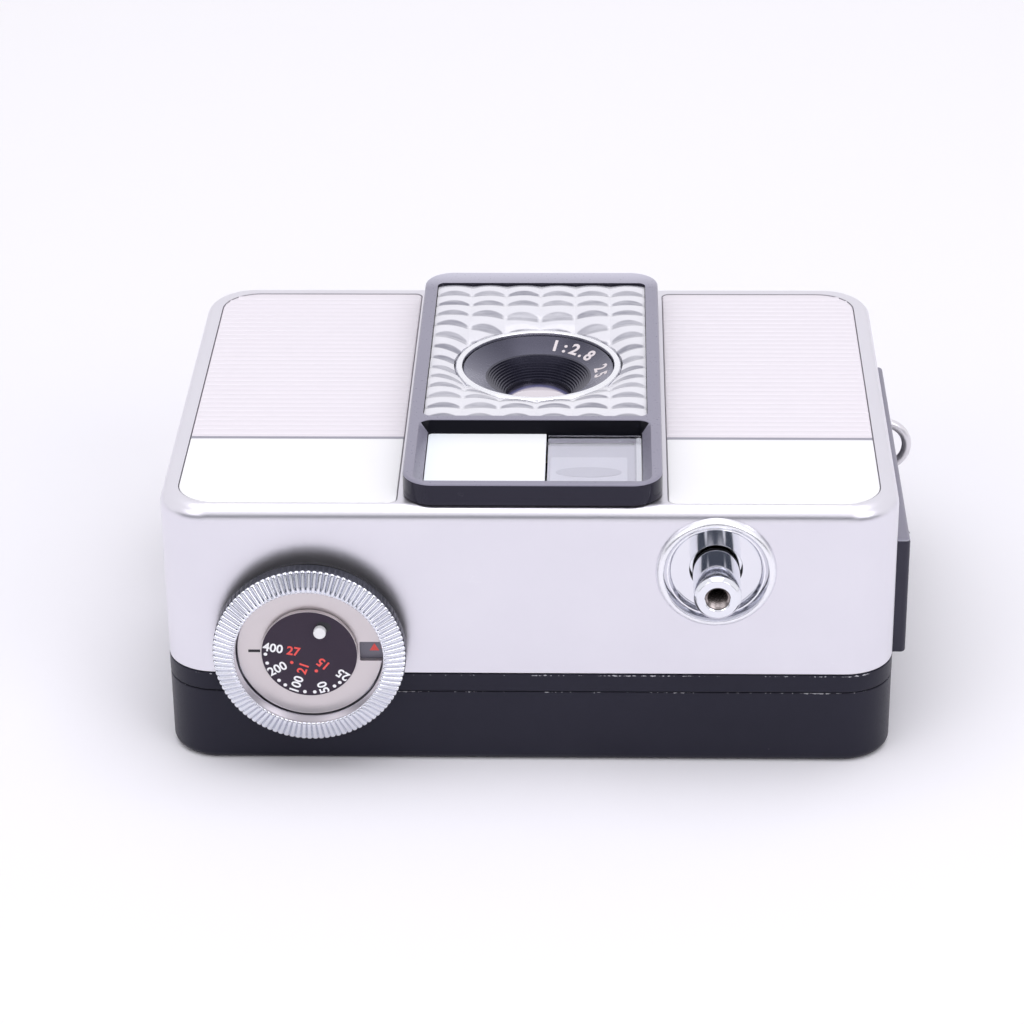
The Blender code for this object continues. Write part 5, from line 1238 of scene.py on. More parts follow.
@dataclass
class FrontPanels:
    """White band and pale ribbed plate on each side of the raised frame."""

    near: float = -29.15
    split: Pair = (-13.1, -12.4)
    far: float = 28.15
    low: float = 32.15
    top: float = 32.5
    outer: float = 4.4
    inner: float = 0.9
    pitch: float = 1.195
    rib_width: float = 0.50
    rib_height: float = 0.07

    def build(self) -> None:
        """Build and finish the four panels."""
        for side, left, right in (("left", -39.3, -14.65), ("right", 15.65, 39.3)):
            first, second = (self.outer, self.inner) if side == "left" else (self.inner, self.outer)
            band = slab((left, self.near, self.low), (right, self.split[0], self.top), (first, second, 0.15, 0.15),
                        0.10, steps=14, rim=4)
            SHOP.piece(side + "_enamel_band", band, ENAMEL, [side + "_white_panel"])
            strip = slab((left, self.split[0] + 0.04, self.low), (right, self.split[1] - 0.04, self.top - 0.04),
                         [0.05] * 4, 0.05, steps=3, rim=2)
            SHOP.piece(side + "_divider", strip, DIVIDER)
            self._ribbed(side, left, right, first, second)

    def _ribbed(self, side: str, left: float, right: float, first: float, second: float) -> None:
        """Build one ribbed plate: a base plate and the ribs on it.

        Args:
            side: name of the side.
            left, right: its limits in X.
            first, second: its left and right corner radius.
        """
        level = self.top - self.rib_height
        plate = slab((left, self.split[1], self.low), (right, self.far, level), (0.15, 0.15, second, first), 0.05,
                     steps=14, rim=3)
        SHOP.piece(side + "_rib_base", plate, RIB_ROOT, [side + "_ribbed_panel"])
        count = int((self.far - self.split[1]) / self.pitch)
        spare = (self.far - self.split[1] - count * self.pitch) / 2
        margin = 0.12
        values = {"Left": left + margin, "Right": right - margin, "Near": self.split[1] + spare, "Far": self.far,
                  "Pitch": self.pitch, "Count": count, "Width": self.rib_width, "Height": self.rib_height,
                  "Level": level, "LeftCorner": first, "RightCorner": second}
        SHOP.piece(side + "_ribs", rib_pattern().run(values, RIB_PALE), RIB_PALE, sharp=60.0)


@dataclass
class MeterFrame:
    """Raised black frame, faceted lens plate of the light meter and the two windows."""

    left: float = -14.0
    right: float = 15.0
    near: float = -29.95
    far: float = 28.8
    low: float = 32.6
    top: float = 35.25
    corner: float = 3.5
    edge: float = 0.35
    cell: tuple[Pair, Pair] = ((-12.4, -12.55), (13.4, 25.4))
    lens: Pair = (0.5, 4.75)
    lens_hole: float = 10.1
    plate: Pair = (32.75, 34.73)
    recess: tuple[Pair, Pair] = ((-11.8, -28.55), (12.8, -14.1))
    recess_mouth: tuple[Pair, Pair] = ((-12.8, -29.05), (13.8, -13.6))

    def build(self) -> None:
        """Build and finish the frame and what it holds."""
        self._frame()
        self._lens_plate()
        self._windows()

    def _frame(self) -> None:
        """Moulded frame with the meter window and the finder recess."""
        solid = slab((self.left, self.near, self.low), (self.right, self.far, self.top), [self.corner] * 4, self.edge,
                     steps=16, rim=5)
        (x0, y0), (x1, y1) = self.cell
        window = slab((x0, y0, 0.0), (x1, y1, 50.0), [0.9] * 4, steps=8)
        pocket = slab((*self.recess[0], 0.0), (*self.recess[1], self.top), [0.4] * 4, steps=6)
        floor, mouth = outline(*self.recess, [0.4] * 4, 6), outline(*self.recess_mouth, [1.4] * 4, 6)
        recess = loft([[(x, y, z) for x, y in ring]
                       for ring, z in ((floor, 33.8), (mouth, self.top), (mouth, 36.0))])
        solid = SHOP.carve(solid, window, pocket, recess)
        rims = [e for e in solid.edges if all(abs(v.co.z - self.top) < 1e-3 for v in e.verts)
                and e.is_manifold and e.calc_face_angle(0.0) > 0.5]
        bmesh.ops.bevel(solid, geom=rims, offset=0.10, offset_type="OFFSET", segments=2, profile=0.5, affect="EDGES",
                        clamp_overlap=True)

        def shade(face: Any) -> int:
            """Pick a painted sheen for what faces up and painted shade, a duller black, for the far wall of the recess.

            Args:
                face: the face.

            Returns:
                Number of the finish.
            """
            spot = face.calc_center_median()
            if face.normal.y < -0.5 and abs(spot.y + 13.85) < 0.4 and spot.z < self.top - 0.15:
                return 2
            return int(face.normal.z > 0.45)

        SHOP.piece("cell_frame_moulding", solid, (GLOSS_BLACK, FRAME_PAINTED_SHEEN, RECESS_PAINTED_SHADE), ["cell_frame"], choose=shade)

    def _lens_plate(self) -> None:
        """Clear plate of small lenses round the taking lens."""
        (x0, y0), (x1, y1) = self.cell
        grow = 0.1
        values = {"Width": x1 - x0 - grow, "Length": y1 - y0 - grow, "Columns": 6, "Rows": 13, "FineX": 10,
                  "FineY": 8, "Bulge": 0.40, "Share": 0.55, "Level": self.plate[1], "MiddleX": (x0 + x1) / 2,
                  "MiddleY": (y0 + y1) / 2, "DishX": self.lens[0], "DishY": self.lens[1],
                  "DishRadius": self.lens_hole, "DishWidth": 5.0, "DishDepth": 1.35}
        bm = facet_pattern().run(values, FACETED)
        rim = [e for e in bm.edges if e.is_boundary]
        grown = bmesh.ops.extrude_edge_only(bm, edges=rim)["geom"]
        for vert in (item for item in grown if isinstance(item, bmesh.types.BMVert)):
            vert.co.z = self.plate[0]
        bmesh.ops.holes_fill(bm, edges=[e for e in bm.edges if e.is_boundary], sides=0)
        bmesh.ops.recalc_face_normals(bm, faces=bm.faces)
        plate = SHOP.carve(bm, drill(*self.lens, 0.0, self.lens_hole, (20.0, 50.0), Axis.FRONT, 128))
        SHOP.piece("cell_lens_plate", plate, FACETED, ["cell_lens"], sharp=12.0)
        SHOP.dress(SELENIUM, "selenium_cell")

    def _windows(self) -> None:
        """Frosted window, and finder window over its nested bright frame."""
        frosted = slab((-11.72, -28.47, 32.72), (1.84, -14.18, 33.7), (0.4, 0.1, 0.1, 0.4), 0.08, rim=3)
        SHOP.piece("frosted_pane", frosted, FROSTED, ["frosted_window"])
        layers = (("finder_mask", (2.06, -28.47, 32.72), (12.72, -14.75, 33.24), FINDER_GREY),
                  ("finder_step", (2.06, -28.47, 33.25), (11.9, -16.9, 33.30), FINDER_MILK),
                  ("finder_bright_frame", (2.4, -28.3, 33.31), (11.07, -19.8, 33.36), FINDER_PALE),
                  ("finder_edge_strip", (12.1, -28.3, 33.25), (12.7, -14.9, 33.42), FINDER_EDGE),
                  ("finder_edge_line", (2.1, -16.6, 33.25), (11.9, -16.2, 33.36), FINDER_EDGE))
        for name, low, high, finish in layers:
            SHOP.piece(name, slab(low, high, [0.3] * 4, 0.03, steps=5, rim=2), finish)
        for name, middle, size, finish in (("finder_arc_far", -23.6, (3.7, 1.25), FINDER_MILK),
                                           ("finder_arc_near", -27.1, (3.1, 0.55), FINDER_EDGE)):
            ring = [(6.75 + size[0] * math.cos(a), middle + size[1] * math.sin(a))
                    for a in (2 * math.pi * k / 48 for k in range(48))]
            eye = loft([[(x, y, z) for x, y in ring] for z in (33.37, 33.40)])
            SHOP.piece(name, eye, finish)
        pane = slab((2.06, -28.47, 33.44), (12.72, -14.6, 33.7), (0.1, 0.4, 0.4, 0.1), 0.06, rim=3)
        SHOP.piece("finder_pane", pane, CLEAR, ["finder_window"])
        SHOP.dress(FINDER_PALE, "finder_objective")
        SHOP.dress(MATT_BLACK, "finder_tube")


@dataclass
class TakingLens:
    """Chrome trim ring, black name ring with its ribbed cone, and the front glass."""

    centre: Pair = MeterFrame.lens
    trim: float = 10.02
    trim_top: float = 33.75
    bore: float = 9.1
    low: float = 31.2
    name_top: float = 33.45
    cone_mouth: float = 6.25
    cone_level: float = 32.1
    cone_foot: float = 3.9
    cone_low: float = 29.7
    name_edge: Pair = (8.8, 9.0)
    glass_back: float = 28.5
    barrel: Pair = (8.0, 27.1)

    def build(self) -> None:
        """Build and finish the visible parts of the lens."""
        axis = Axis.FRONT.at(*self.centre, 0.0)
        ring = eased([(self.trim, self.low, 0.0), (self.bore, self.low, 0.0), (self.bore, self.trim_top, 0.18),
                      (self.trim - 0.2, self.trim_top, 0.2), (self.trim, self.trim_top - 0.4, 0.2)], closed=True,
                     steps=6)
        SHOP.piece("trim_ring_turned", turned(ring, axis, 144, True), TRIM, ["lens_trim_ring"])
        SHOP.piece("name_ring_turned", turned(self._name_profile(), axis, 144, True), (NAME_BLACK_PAINTED_REFLECTION, CONE_BLACK),
                   ["lens_name_ring"], choose=self._cone)
        self._figures()
        radius, edge, top = self.cone_foot + 0.2, self.cone_low - 0.35, self.cone_low + 0.25
        dome = [(radius * math.sin(math.pi / 2 * i / 14), edge + (top - edge) * math.cos(math.pi / 2 * i / 14))
                for i in range(15)]
        dome += [(radius, self.glass_back), (0.0, self.glass_back)]
        SHOP.piece("front_glass", turned(dome, axis, 96), GLASS_PAINTED_HIGHLIGHT, ["front_element"])
        rim = self.low - 0.01
        wide, back = self.barrel
        barrel = [(wide, back), (wide, rim), (self._reach(rim), rim)]
        barrel += self._steps(rim, self.cone_low)[::-1] + [(self.cone_foot, back)]
        SHOP.piece("barrel_cone", turned(barrel, axis, 128, True), CONE_BLACK, ["lens_barrel"])
        SHOP.dress(CLEAR, "middle_element", "rear_element")
        SHOP.dress(BLACK_METAL_AND_SHADE, "rear_cell")
        SHOP.dress(BRASS, "lens_board", "shutter_plate")
        SHOP.dress(STEEL, "shutter_blade_a", "shutter_blade_b")

    def _reach(self, height: float) -> float:
        """Return the radius of the inner cone at a height."""
        share = (height - self.cone_low) / (self.cone_level - self.cone_low)
        return self.cone_foot + (self.cone_mouth - self.cone_foot) * share

    def _steps(self, high: float, low: float) -> list[Pair]:
        """Return the fine steps of the inner cone between two heights.

        Args:
            high, low: the heights.

        Returns:
            Radius and height of each point, from low to high.
        """
        count = max(int((high - low) / 0.22), 1)
        points = []
        for i in range(count):
            first, last = (low + (high - low) * k / count for k in (i, i + 1))
            wide = self._reach(last) - self._reach(first)
            points += [(self._reach(first), first), (self._reach(first) + 0.25 * wide, last - 0.1 * (last - first))]
        return points

    def _name_profile(self) -> list[Pair]:
        """Return the section of the name ring with the fine steps of its cone.

        Returns:
            Radius and height of each point.
        """
        flat, edge = self.name_edge
        profile = eased([(self.cone_mouth, self.cone_level, 0.0),
                         (self.cone_mouth + 0.12, self.cone_level + 0.06, 0.04), (flat, self.name_top - 0.06, 0.1),
                         (edge, self.name_top - 0.2, 0.1), (edge, self.low, 0.0)])
        return profile + [(self._reach(self.low), self.low)] + self._steps(self.cone_level, self.low)[1:]

    def _cone(self, face: Any) -> int:
        """Pick the duller finish for the inner cone."""
        return int(around(Axis.FRONT.at(*self.centre, 0.0), face)[0] < self.cone_mouth + 0.05)

    def _figures(self) -> None:
        """Pale figures on the sloping name ring."""
        solids = []
        middle = 7.45
        slope = (self.name_top - 0.06 - self.cone_level) / (self.name_edge[0] - self.cone_mouth)
        height = self.cone_level + slope * (middle - self.cone_mouth) + 0.03
        marks = ((75.0, "1"), (65.0, ":"), (55.0, "2"), (45.5, "."), (36.0, "8"), (7.0, "2"), (-7.0, "5"))
        for angle, figure in marks:
            solid = SHOP.figures(figure, 1.6, 0.07)
            solid.transform(Matrix.Translation((*self.centre, height))
                            @ Matrix.Rotation(math.radians(angle - 90.0), 4, "Z")
                            @ Matrix.Translation((0.0, middle, 0.0)) @ Matrix.Rotation(math.atan(slope), 4, "X"))
            solids.append(solid)
        SHOP.piece("lens_figures", SHOP.gather(solids), PINK_INK)


@dataclass
class SpeedDial:
    """Knurled aperture ring, champagne plate and black film speed disc on the top face."""

    centre: Triple = (-24.6, -30.75, 15.45)
    radius: float = 10.9
    inner: float = 8.5
    rise: float = 3.8
    teeth: int = 100
    plate: float = 8.2
    disc: float = 5.45
    stops: tuple[tuple[str, float], ...] = (("400", 170.0), ("200", 208.0), ("100", 248.5), ("50", 288.7),
                                            ("25", 324.5))
    red: tuple[tuple[str, float], ...] = (("27", 170.0), ("21", 248.5), ("15", 321.5))

    def build(self) -> None:
        """Build and finish the dial."""
        self.place = Axis.TOP.at(*self.centre)
        self._ring()
        self._plate()
        self._disc()
        SHOP.dress(STEEL, "dial_post")

    def _ring(self) -> None:
        """Knurled ring with its hub, and the scale that shows through the window."""
        profile = [(self.inner, 0.9, 0.0), (self.inner, 1.4, 0.0), (8.34, 1.55, 0.0), (8.34, 3.5, 0.0),
                   (8.4, 3.68, 0.0), (8.5, 3.76, 0.3), (8.65, self.rise, 1.0), (9.15, 3.65, 1.0), (9.65, 3.49, 1.0),
                   (10.15, 3.33, 1.0), (10.6, 3.18, 1.0), (10.8, 3.11, 1.0), (10.87, 3.0, 0.5),
                   (self.radius, 2.7, 0.2), (self.radius, 1.6, 0.0), (10.8, 1.5, 0.0), (9.8, 1.2, 0.0),
                   (9.7, 0.9, 0.0), (9.7, 0.32, 0.0), (2.4, 0.3, 0.0), (2.4, -4.6, 0.0), (1.5, -4.6, 0.0),
                   (1.5, 0.9, 0.0)]
        ring = knurled(profile, self.teeth, 0.30, 0.45, KNURL_CHROME, self.place, True)

        def pick_painted_shade(face: Any) -> int:
            """Pick the painted shade: a dark metal for the outer wall and black for the undercut below the lip."""
            radius, height = around(self.place, face)
            return 0 if radius < 9.0 or height >= 2.9 else 1 if height < 1.59 else 2

        SHOP.piece("aperture_ring_knurled", ring, (KNURL_CHROME, BLACK_METAL_AND_SHADE, RING_WALL_PAINTED_SHADE), ["aperture_ring"],
                   "aperture", sharp=42.0, choose=pick_painted_shade)
        # Painted shade: a thin dark ring on the cover under the ring's lip, where the lip's shadow and dark reflection
        # fall.
        shade_ring = turned(eased([(9.85, 0.02, 0.0), (10.25, 0.02, 0.0), (10.23, 0.16, 0.04), (9.85, 0.2, 0.0)], True),
                      self.place, 120, True)
        SHOP.piece("dial_painted_shade_ring", shade_ring, BLACK_INK_AND_SHADE)
        scale = turned([(8.3, 0.92), (8.3, 1.2), (5.5, 1.2), (5.5, 0.92)], self.place, 96, True)
        SHOP.piece("aperture_scale", scale, SCALE_GREY, body="aperture")
        triangle = turned([(0.0, 0.02), (0.62, 0.02), (0.62, 0.0), (0.0, 0.0)], self.place
                          @ Matrix.Translation((7.25, 0.05, 1.2)) @ Matrix.Rotation(math.pi / 2, 4, "Z"), 3)
        SHOP.piece("auto_mark", triangle, RED_INK, body="aperture")
        marks = []
        for i, figure in enumerate(("2.8", "4", "5.6", "8", "11", "16", "22"), 1):
            solid = SHOP.figures(figure, 0.8, 0.02)
            turn = Matrix.Rotation(math.radians(-21.0 * i), 4, "Z")
            solid.transform(self.place @ turn @ Matrix.Translation((7.0, 0.0, 1.21)))
            marks.append(solid)
        SHOP.piece("aperture_figures", SHOP.gather(marks), WHITE_INK, body="aperture")

    def _plate(self) -> None:
        """Champagne plate with its window and index line."""
        plate = turned(eased([(0.0, 1.9, 0.0), (self.plate, 1.9, 0.12), (self.plate, 1.3, 0.0), (0.0, 1.3, 0.0)]),
                       self.place, 144)
        window = slab((5.62, -1.22, 0.0), (8.4, 1.22, 5.0), [0.15] * 4)
        window.transform(self.place)
        SHOP.piece("dial_face", SHOP.carve(plate, window), CHAMPAGNE, ["dial_plate"])
        line = slab((-6.95, -0.17, 1.88), (-5.6, 0.17, 1.915), [0.05] * 4)
        line.transform(self.place)
        SHOP.piece("index_line", line, BLACK_INK_AND_SHADE)

    def _disc(self) -> None:
        """Film speed disc with champagne sides, black face, figures, dots and peg."""
        sides = turned(eased([(0.0, 2.54, 0.0), (self.disc - 0.06, 2.54, 0.0), (self.disc - 0.06, 2.6, 0.02),
                              (self.disc - 0.01, 2.6, 0.02), (self.disc, 2.34, 0.04), (self.disc - 0.1, 2.30, 0.03),
                              (self.disc - 0.05, 2.0, 0.0), (0.0, 2.0, 0.0)]), self.place, 144)
        SHOP.piece("film_speed_rim", sides, CHAMPAGNE, ["film_speed_disc"], "film_speed")
        face = turned([(0.0, 2.585), (self.disc - 0.07, 2.585), (self.disc - 0.07, 2.5), (0.0, 2.5)], self.place, 144)
        SHOP.piece("film_speed_face", face, DISC_BLACK, body="film_speed")
        for name, marks, outer, finish in (("speed_figures", self.stops, 5.28, WHITE_INK),
                                           ("second_figures", self.red, 2.6, RED_INK)):
            solids = []
            for figure, angle in marks:
                solid = SHOP.figures(figure, 1.06, 0.035)
                wide = max(v.co.x for v in solid.verts) - min(v.co.x for v in solid.verts)
                solid.transform(self.place @ Matrix.Rotation(math.radians(angle), 4, "Z")
                                @ Matrix.Translation((outer - wide / 2, 0.0, 2.592)) @ Matrix.Rotation(math.pi, 4, "Z"))
                solids.append(solid)
            SHOP.piece(name, SHOP.gather(solids), finish, body="film_speed")
        white = [180.5, 194.0, 224.0, 234.5, 262.0, 275.0, 303.0, 312.0]
        for name, angles, radius, size, finish in (("speed_dots", white, 4.95, 0.21, WHITE_INK),
                                                   ("second_dots", [208.5, 288.0], 2.3, 0.20, RED_INK)):
            spots = [(radius * math.cos(math.radians(a)), radius * math.sin(math.radians(a)), 2.585) for a in angles]
            dots = dot_pattern().run({"Radius": size, "Height": 0.014, "Sides": 20}, finish, points_mesh(spots))
            dots.transform(self.place)
            SHOP.piece(name, dots, finish, body="film_speed")
        # Painted shadow: two black dots beside the peg, standing in for its shadow on the disc.
        peg_shadow = dot_pattern().run({"Radius": 0.62, "Height": 0.01, "Sides": 24}, BLACK_INK_AND_SHADE,
                                 points_mesh([(1.5, 3.55, 2.585), (1.95, 3.45, 2.585)]))
        peg_shadow.transform(self.place)
        SHOP.piece("peg_painted_shadow", peg_shadow, BLACK_INK_AND_SHADE, body="film_speed")
        peg = turned(eased([(0.0, 3.3, 0.0), (0.7, 3.3, 0.16), (0.7, 2.62, 0.0), (0.0, 2.62, 0.0)]),
                     self.place @ Matrix.Translation((1.3, 3.0, 0.0)), 40)
        SHOP.piece("speed_peg", peg, WHITE_PLASTIC, ["film_speed_peg"], "film_speed")


@dataclass
class ReleaseButton:
    """Dished collar and polished release button with its cable socket."""

    centre: Triple = (21.0, -30.75, 24.75)
    collar: float = 6.78
    dish: float = 5.05
    rise: float = 0.8
    floor: float = -0.75
    button: float = 2.65
    height: float = 6.4
    socket: float = 1.35

    def build(self) -> None:
        """Build and finish the release."""
        place = Axis.TOP.at(*self.centre)
        bead = eased([(self.collar, 0.03, 0.0), (self.collar - 0.12, 0.42, 0.15), (self.collar - 0.5, self.rise, 0.28),
                      (5.95, self.rise - 0.05, 0.15), (5.68, 0.35, 0.2), (self.dish + 0.08, self.floor + 0.1, 0.1),
                      (self.dish - 0.1, self.floor, 0.08), (3.0, self.floor, 0.02), (2.97, self.floor - 0.05, 0.02),
                      (2.97, -1.35, 0.0), (5.35, -1.35, 0.0), (5.35, 0.03, 0.0)], closed=True)

        def shade(face: Any) -> int:
            """Pick black as painted shade for the bore of the collar round the button, and the satin finish for its
            bead.
            """
            radius, height = around(place, face)
            return 1 if radius < 3.1 and height < self.floor - 0.04 else 2 if radius > 5.92 and height > 0.0 else 0

        SHOP.piece("release_collar_dished", turned(bead, place, 128, True), (DISH_SILVER, BLACK_METAL_AND_SHADE, BEAD),
                   ["release_collar"], choose=shade)
        thread = []
        turns = 9
        depth = 4.5
        for i in range(turns):
            top = self.height - 0.45 - (depth - 0.45) * i / turns
            thread += [(self.socket - 0.22, top), (self.socket, top - 0.5 * (depth - 0.45) / turns)]
        profile = [(0.0, self.height - depth)] + [(r, h) for r, h in reversed(thread)]
        profile += eased([(self.socket - 0.02, self.height - 0.3, 0.0), (self.socket + 0.02, self.height - 0.12, 0.0),
                          (self.socket + 0.14, self.height - 0.003, 0.03),
                          (self.button - 0.38, self.height - 0.003, 0.05),
                          (self.button - 0.02, self.height - 0.42, 0.08), (self.button, -1.65, 0.0)], steps=7)
        profile += [(3.6, -1.65), (3.6, -2.25), (1.3, -2.25), (1.3, -8.25), (0.0, -8.25)]

        def inside(face: Any) -> int:
            """Pick the finishes of the cable socket: painted shade inside, and a painted highlight on the flanks that
            face the opening.

            Args:
                face: the face.

            Returns:
                Number of the finish.
            """
            radius, height = around(place, face)
            if radius > self.socket or not 1.0 < height < self.height - 0.2:
                return 0
            return 2 if 0.2 < -face.normal.y < 0.95 else 1

        SHOP.piece("release_button_polished", turned(profile, place, 96), (CHROME, SOCKET_PAINTED_SHADE, THREAD_PAINTED_HIGHLIGHT), ["release_button"],
                   "release", choose=inside)
        SHOP.dress(STEEL, "release_spring")


@dataclass
class HingeSide:
    """Black side plate with its knuckles, the pin, the strap eye and two screws."""

    x: Pair = (41.6, 43.35)
    y: Pair = (-21.8, 24.7)
    z: Pair = (9.36, 24.2)
    pin: Pair = Casing.hinge
    eye: Triple = (43.45, 20.5, 15.3)

    def build(self) -> None:
        """Build and finish the right side."""
        near, far = self.y

        def wear_and_edge_sheen(face: Any) -> bool:
            """Tell the rounded upper edge of the plate's near end, which gets a painted highlight."""
            return 0.3 < face.normal.z < 0.8 and face.normal.y < -0.3

        plate = slab((self.x[0], near, self.z[0]), (self.x[1], far, self.z[1]), (0.1, 0.55, 0.55, 0.1), 0.45, 0.3,
                     steps=5, rim=4)
        gap = slab((30.0, -8.3, 0.0), (60.0, 8.3, 11.7))
        bore = drill(self.pin[0], 0.0, self.pin[1], 0.48, (near + 0.8, 30.0), Axis.BASE, 32)
        # Upward faces get a painted sheen, and the rounded upper edge of the near end a painted highlight.
        SHOP.piece("side_plate", SHOP.carve(plate, gap, bore), (PLATE_BLACK, PLATE_TOP_PAINTED_SHEEN, PLATE_EDGE_HIGHLIGHT), ["hinge_plate"],
                   choose=lambda face: 2 if wear_and_edge_sheen(face) else int(face.normal.z > 0.4))
        pin = turned(eased([(0.0, far - 0.1, 0.0), (0.38, far - 0.1, 0.12), (0.38, near + 0.9, 0.12),
                            (0.0, near + 0.9, 0.0)]), Axis.BASE.at(self.pin[0], 0.0, self.pin[1]), 28)
        SHOP.piece("side_pin", pin, STEEL, ["hinge_pin"])
        self._eye()
        heads = screw_pattern().run({"Radius": 1.4, "Height": 0.48, "Slot": 0.34, "Turn": 0.9}, CHROME,
                                    points_mesh([(-20.2, -15.0, 0.0), (-20.2, 15.0, 0.0)]))
        heads.transform(Axis.RIGHT.at(self.x[1] + 0.1, 0.0, 0.0))
        SHOP.piece("side_screws", heads, CHROME, ["plate_screw_1", "plate_screw_2"])

    def _eye(self) -> None:
        """Round wire bent to a D, with small feet where it enters the plate."""
        x, y, z = self.eye
        wide, reach, wire = 2.99, 2.997, 0.6
        path = [(x, z - wide)]
        for i in range(25):
            angle = math.pi * (i / 24 - 0.5)
            path.append((x + reach - wide + wide * math.cos(angle), z + wide * math.sin(angle)))
        path.append((x, z + wide))
        loops = []
        for i, (px, pz) in enumerate(path):
            before = path[max(i - 1, 0)]
            after = path[min(i + 1, len(path) - 1)]
            along = Vector((after[0] - before[0], 0.0, after[1] - before[1])).normalized()
            side = along.cross(Vector((0.0, 1.0, 0.0)))
            loops.append([(px + wire * side.x * math.cos(a), y + wire * math.sin(a), pz + wire * side.z * math.cos(a))
                          for a in (2 * math.pi * k / 20 for k in range(20))])
        bm = loft(loops)
        feet = [turned(eased([(0.0, 0.22, 0.0), (0.95, 0.22, 0.15), (0.95, 0.0, 0.0), (0.0, 0.0, 0.0)]),
                       Axis.RIGHT.at(self.x[1], y, z + side), 32) for side in (-wide, wide)]
        whole = SHOP.gather([bm, *feet])
        bmesh.ops.recalc_face_normals(whole, faces=whole.faces)
        SHOP.piece("strap_loop", whole, LOOP_STEEL, ["strap_eye"])


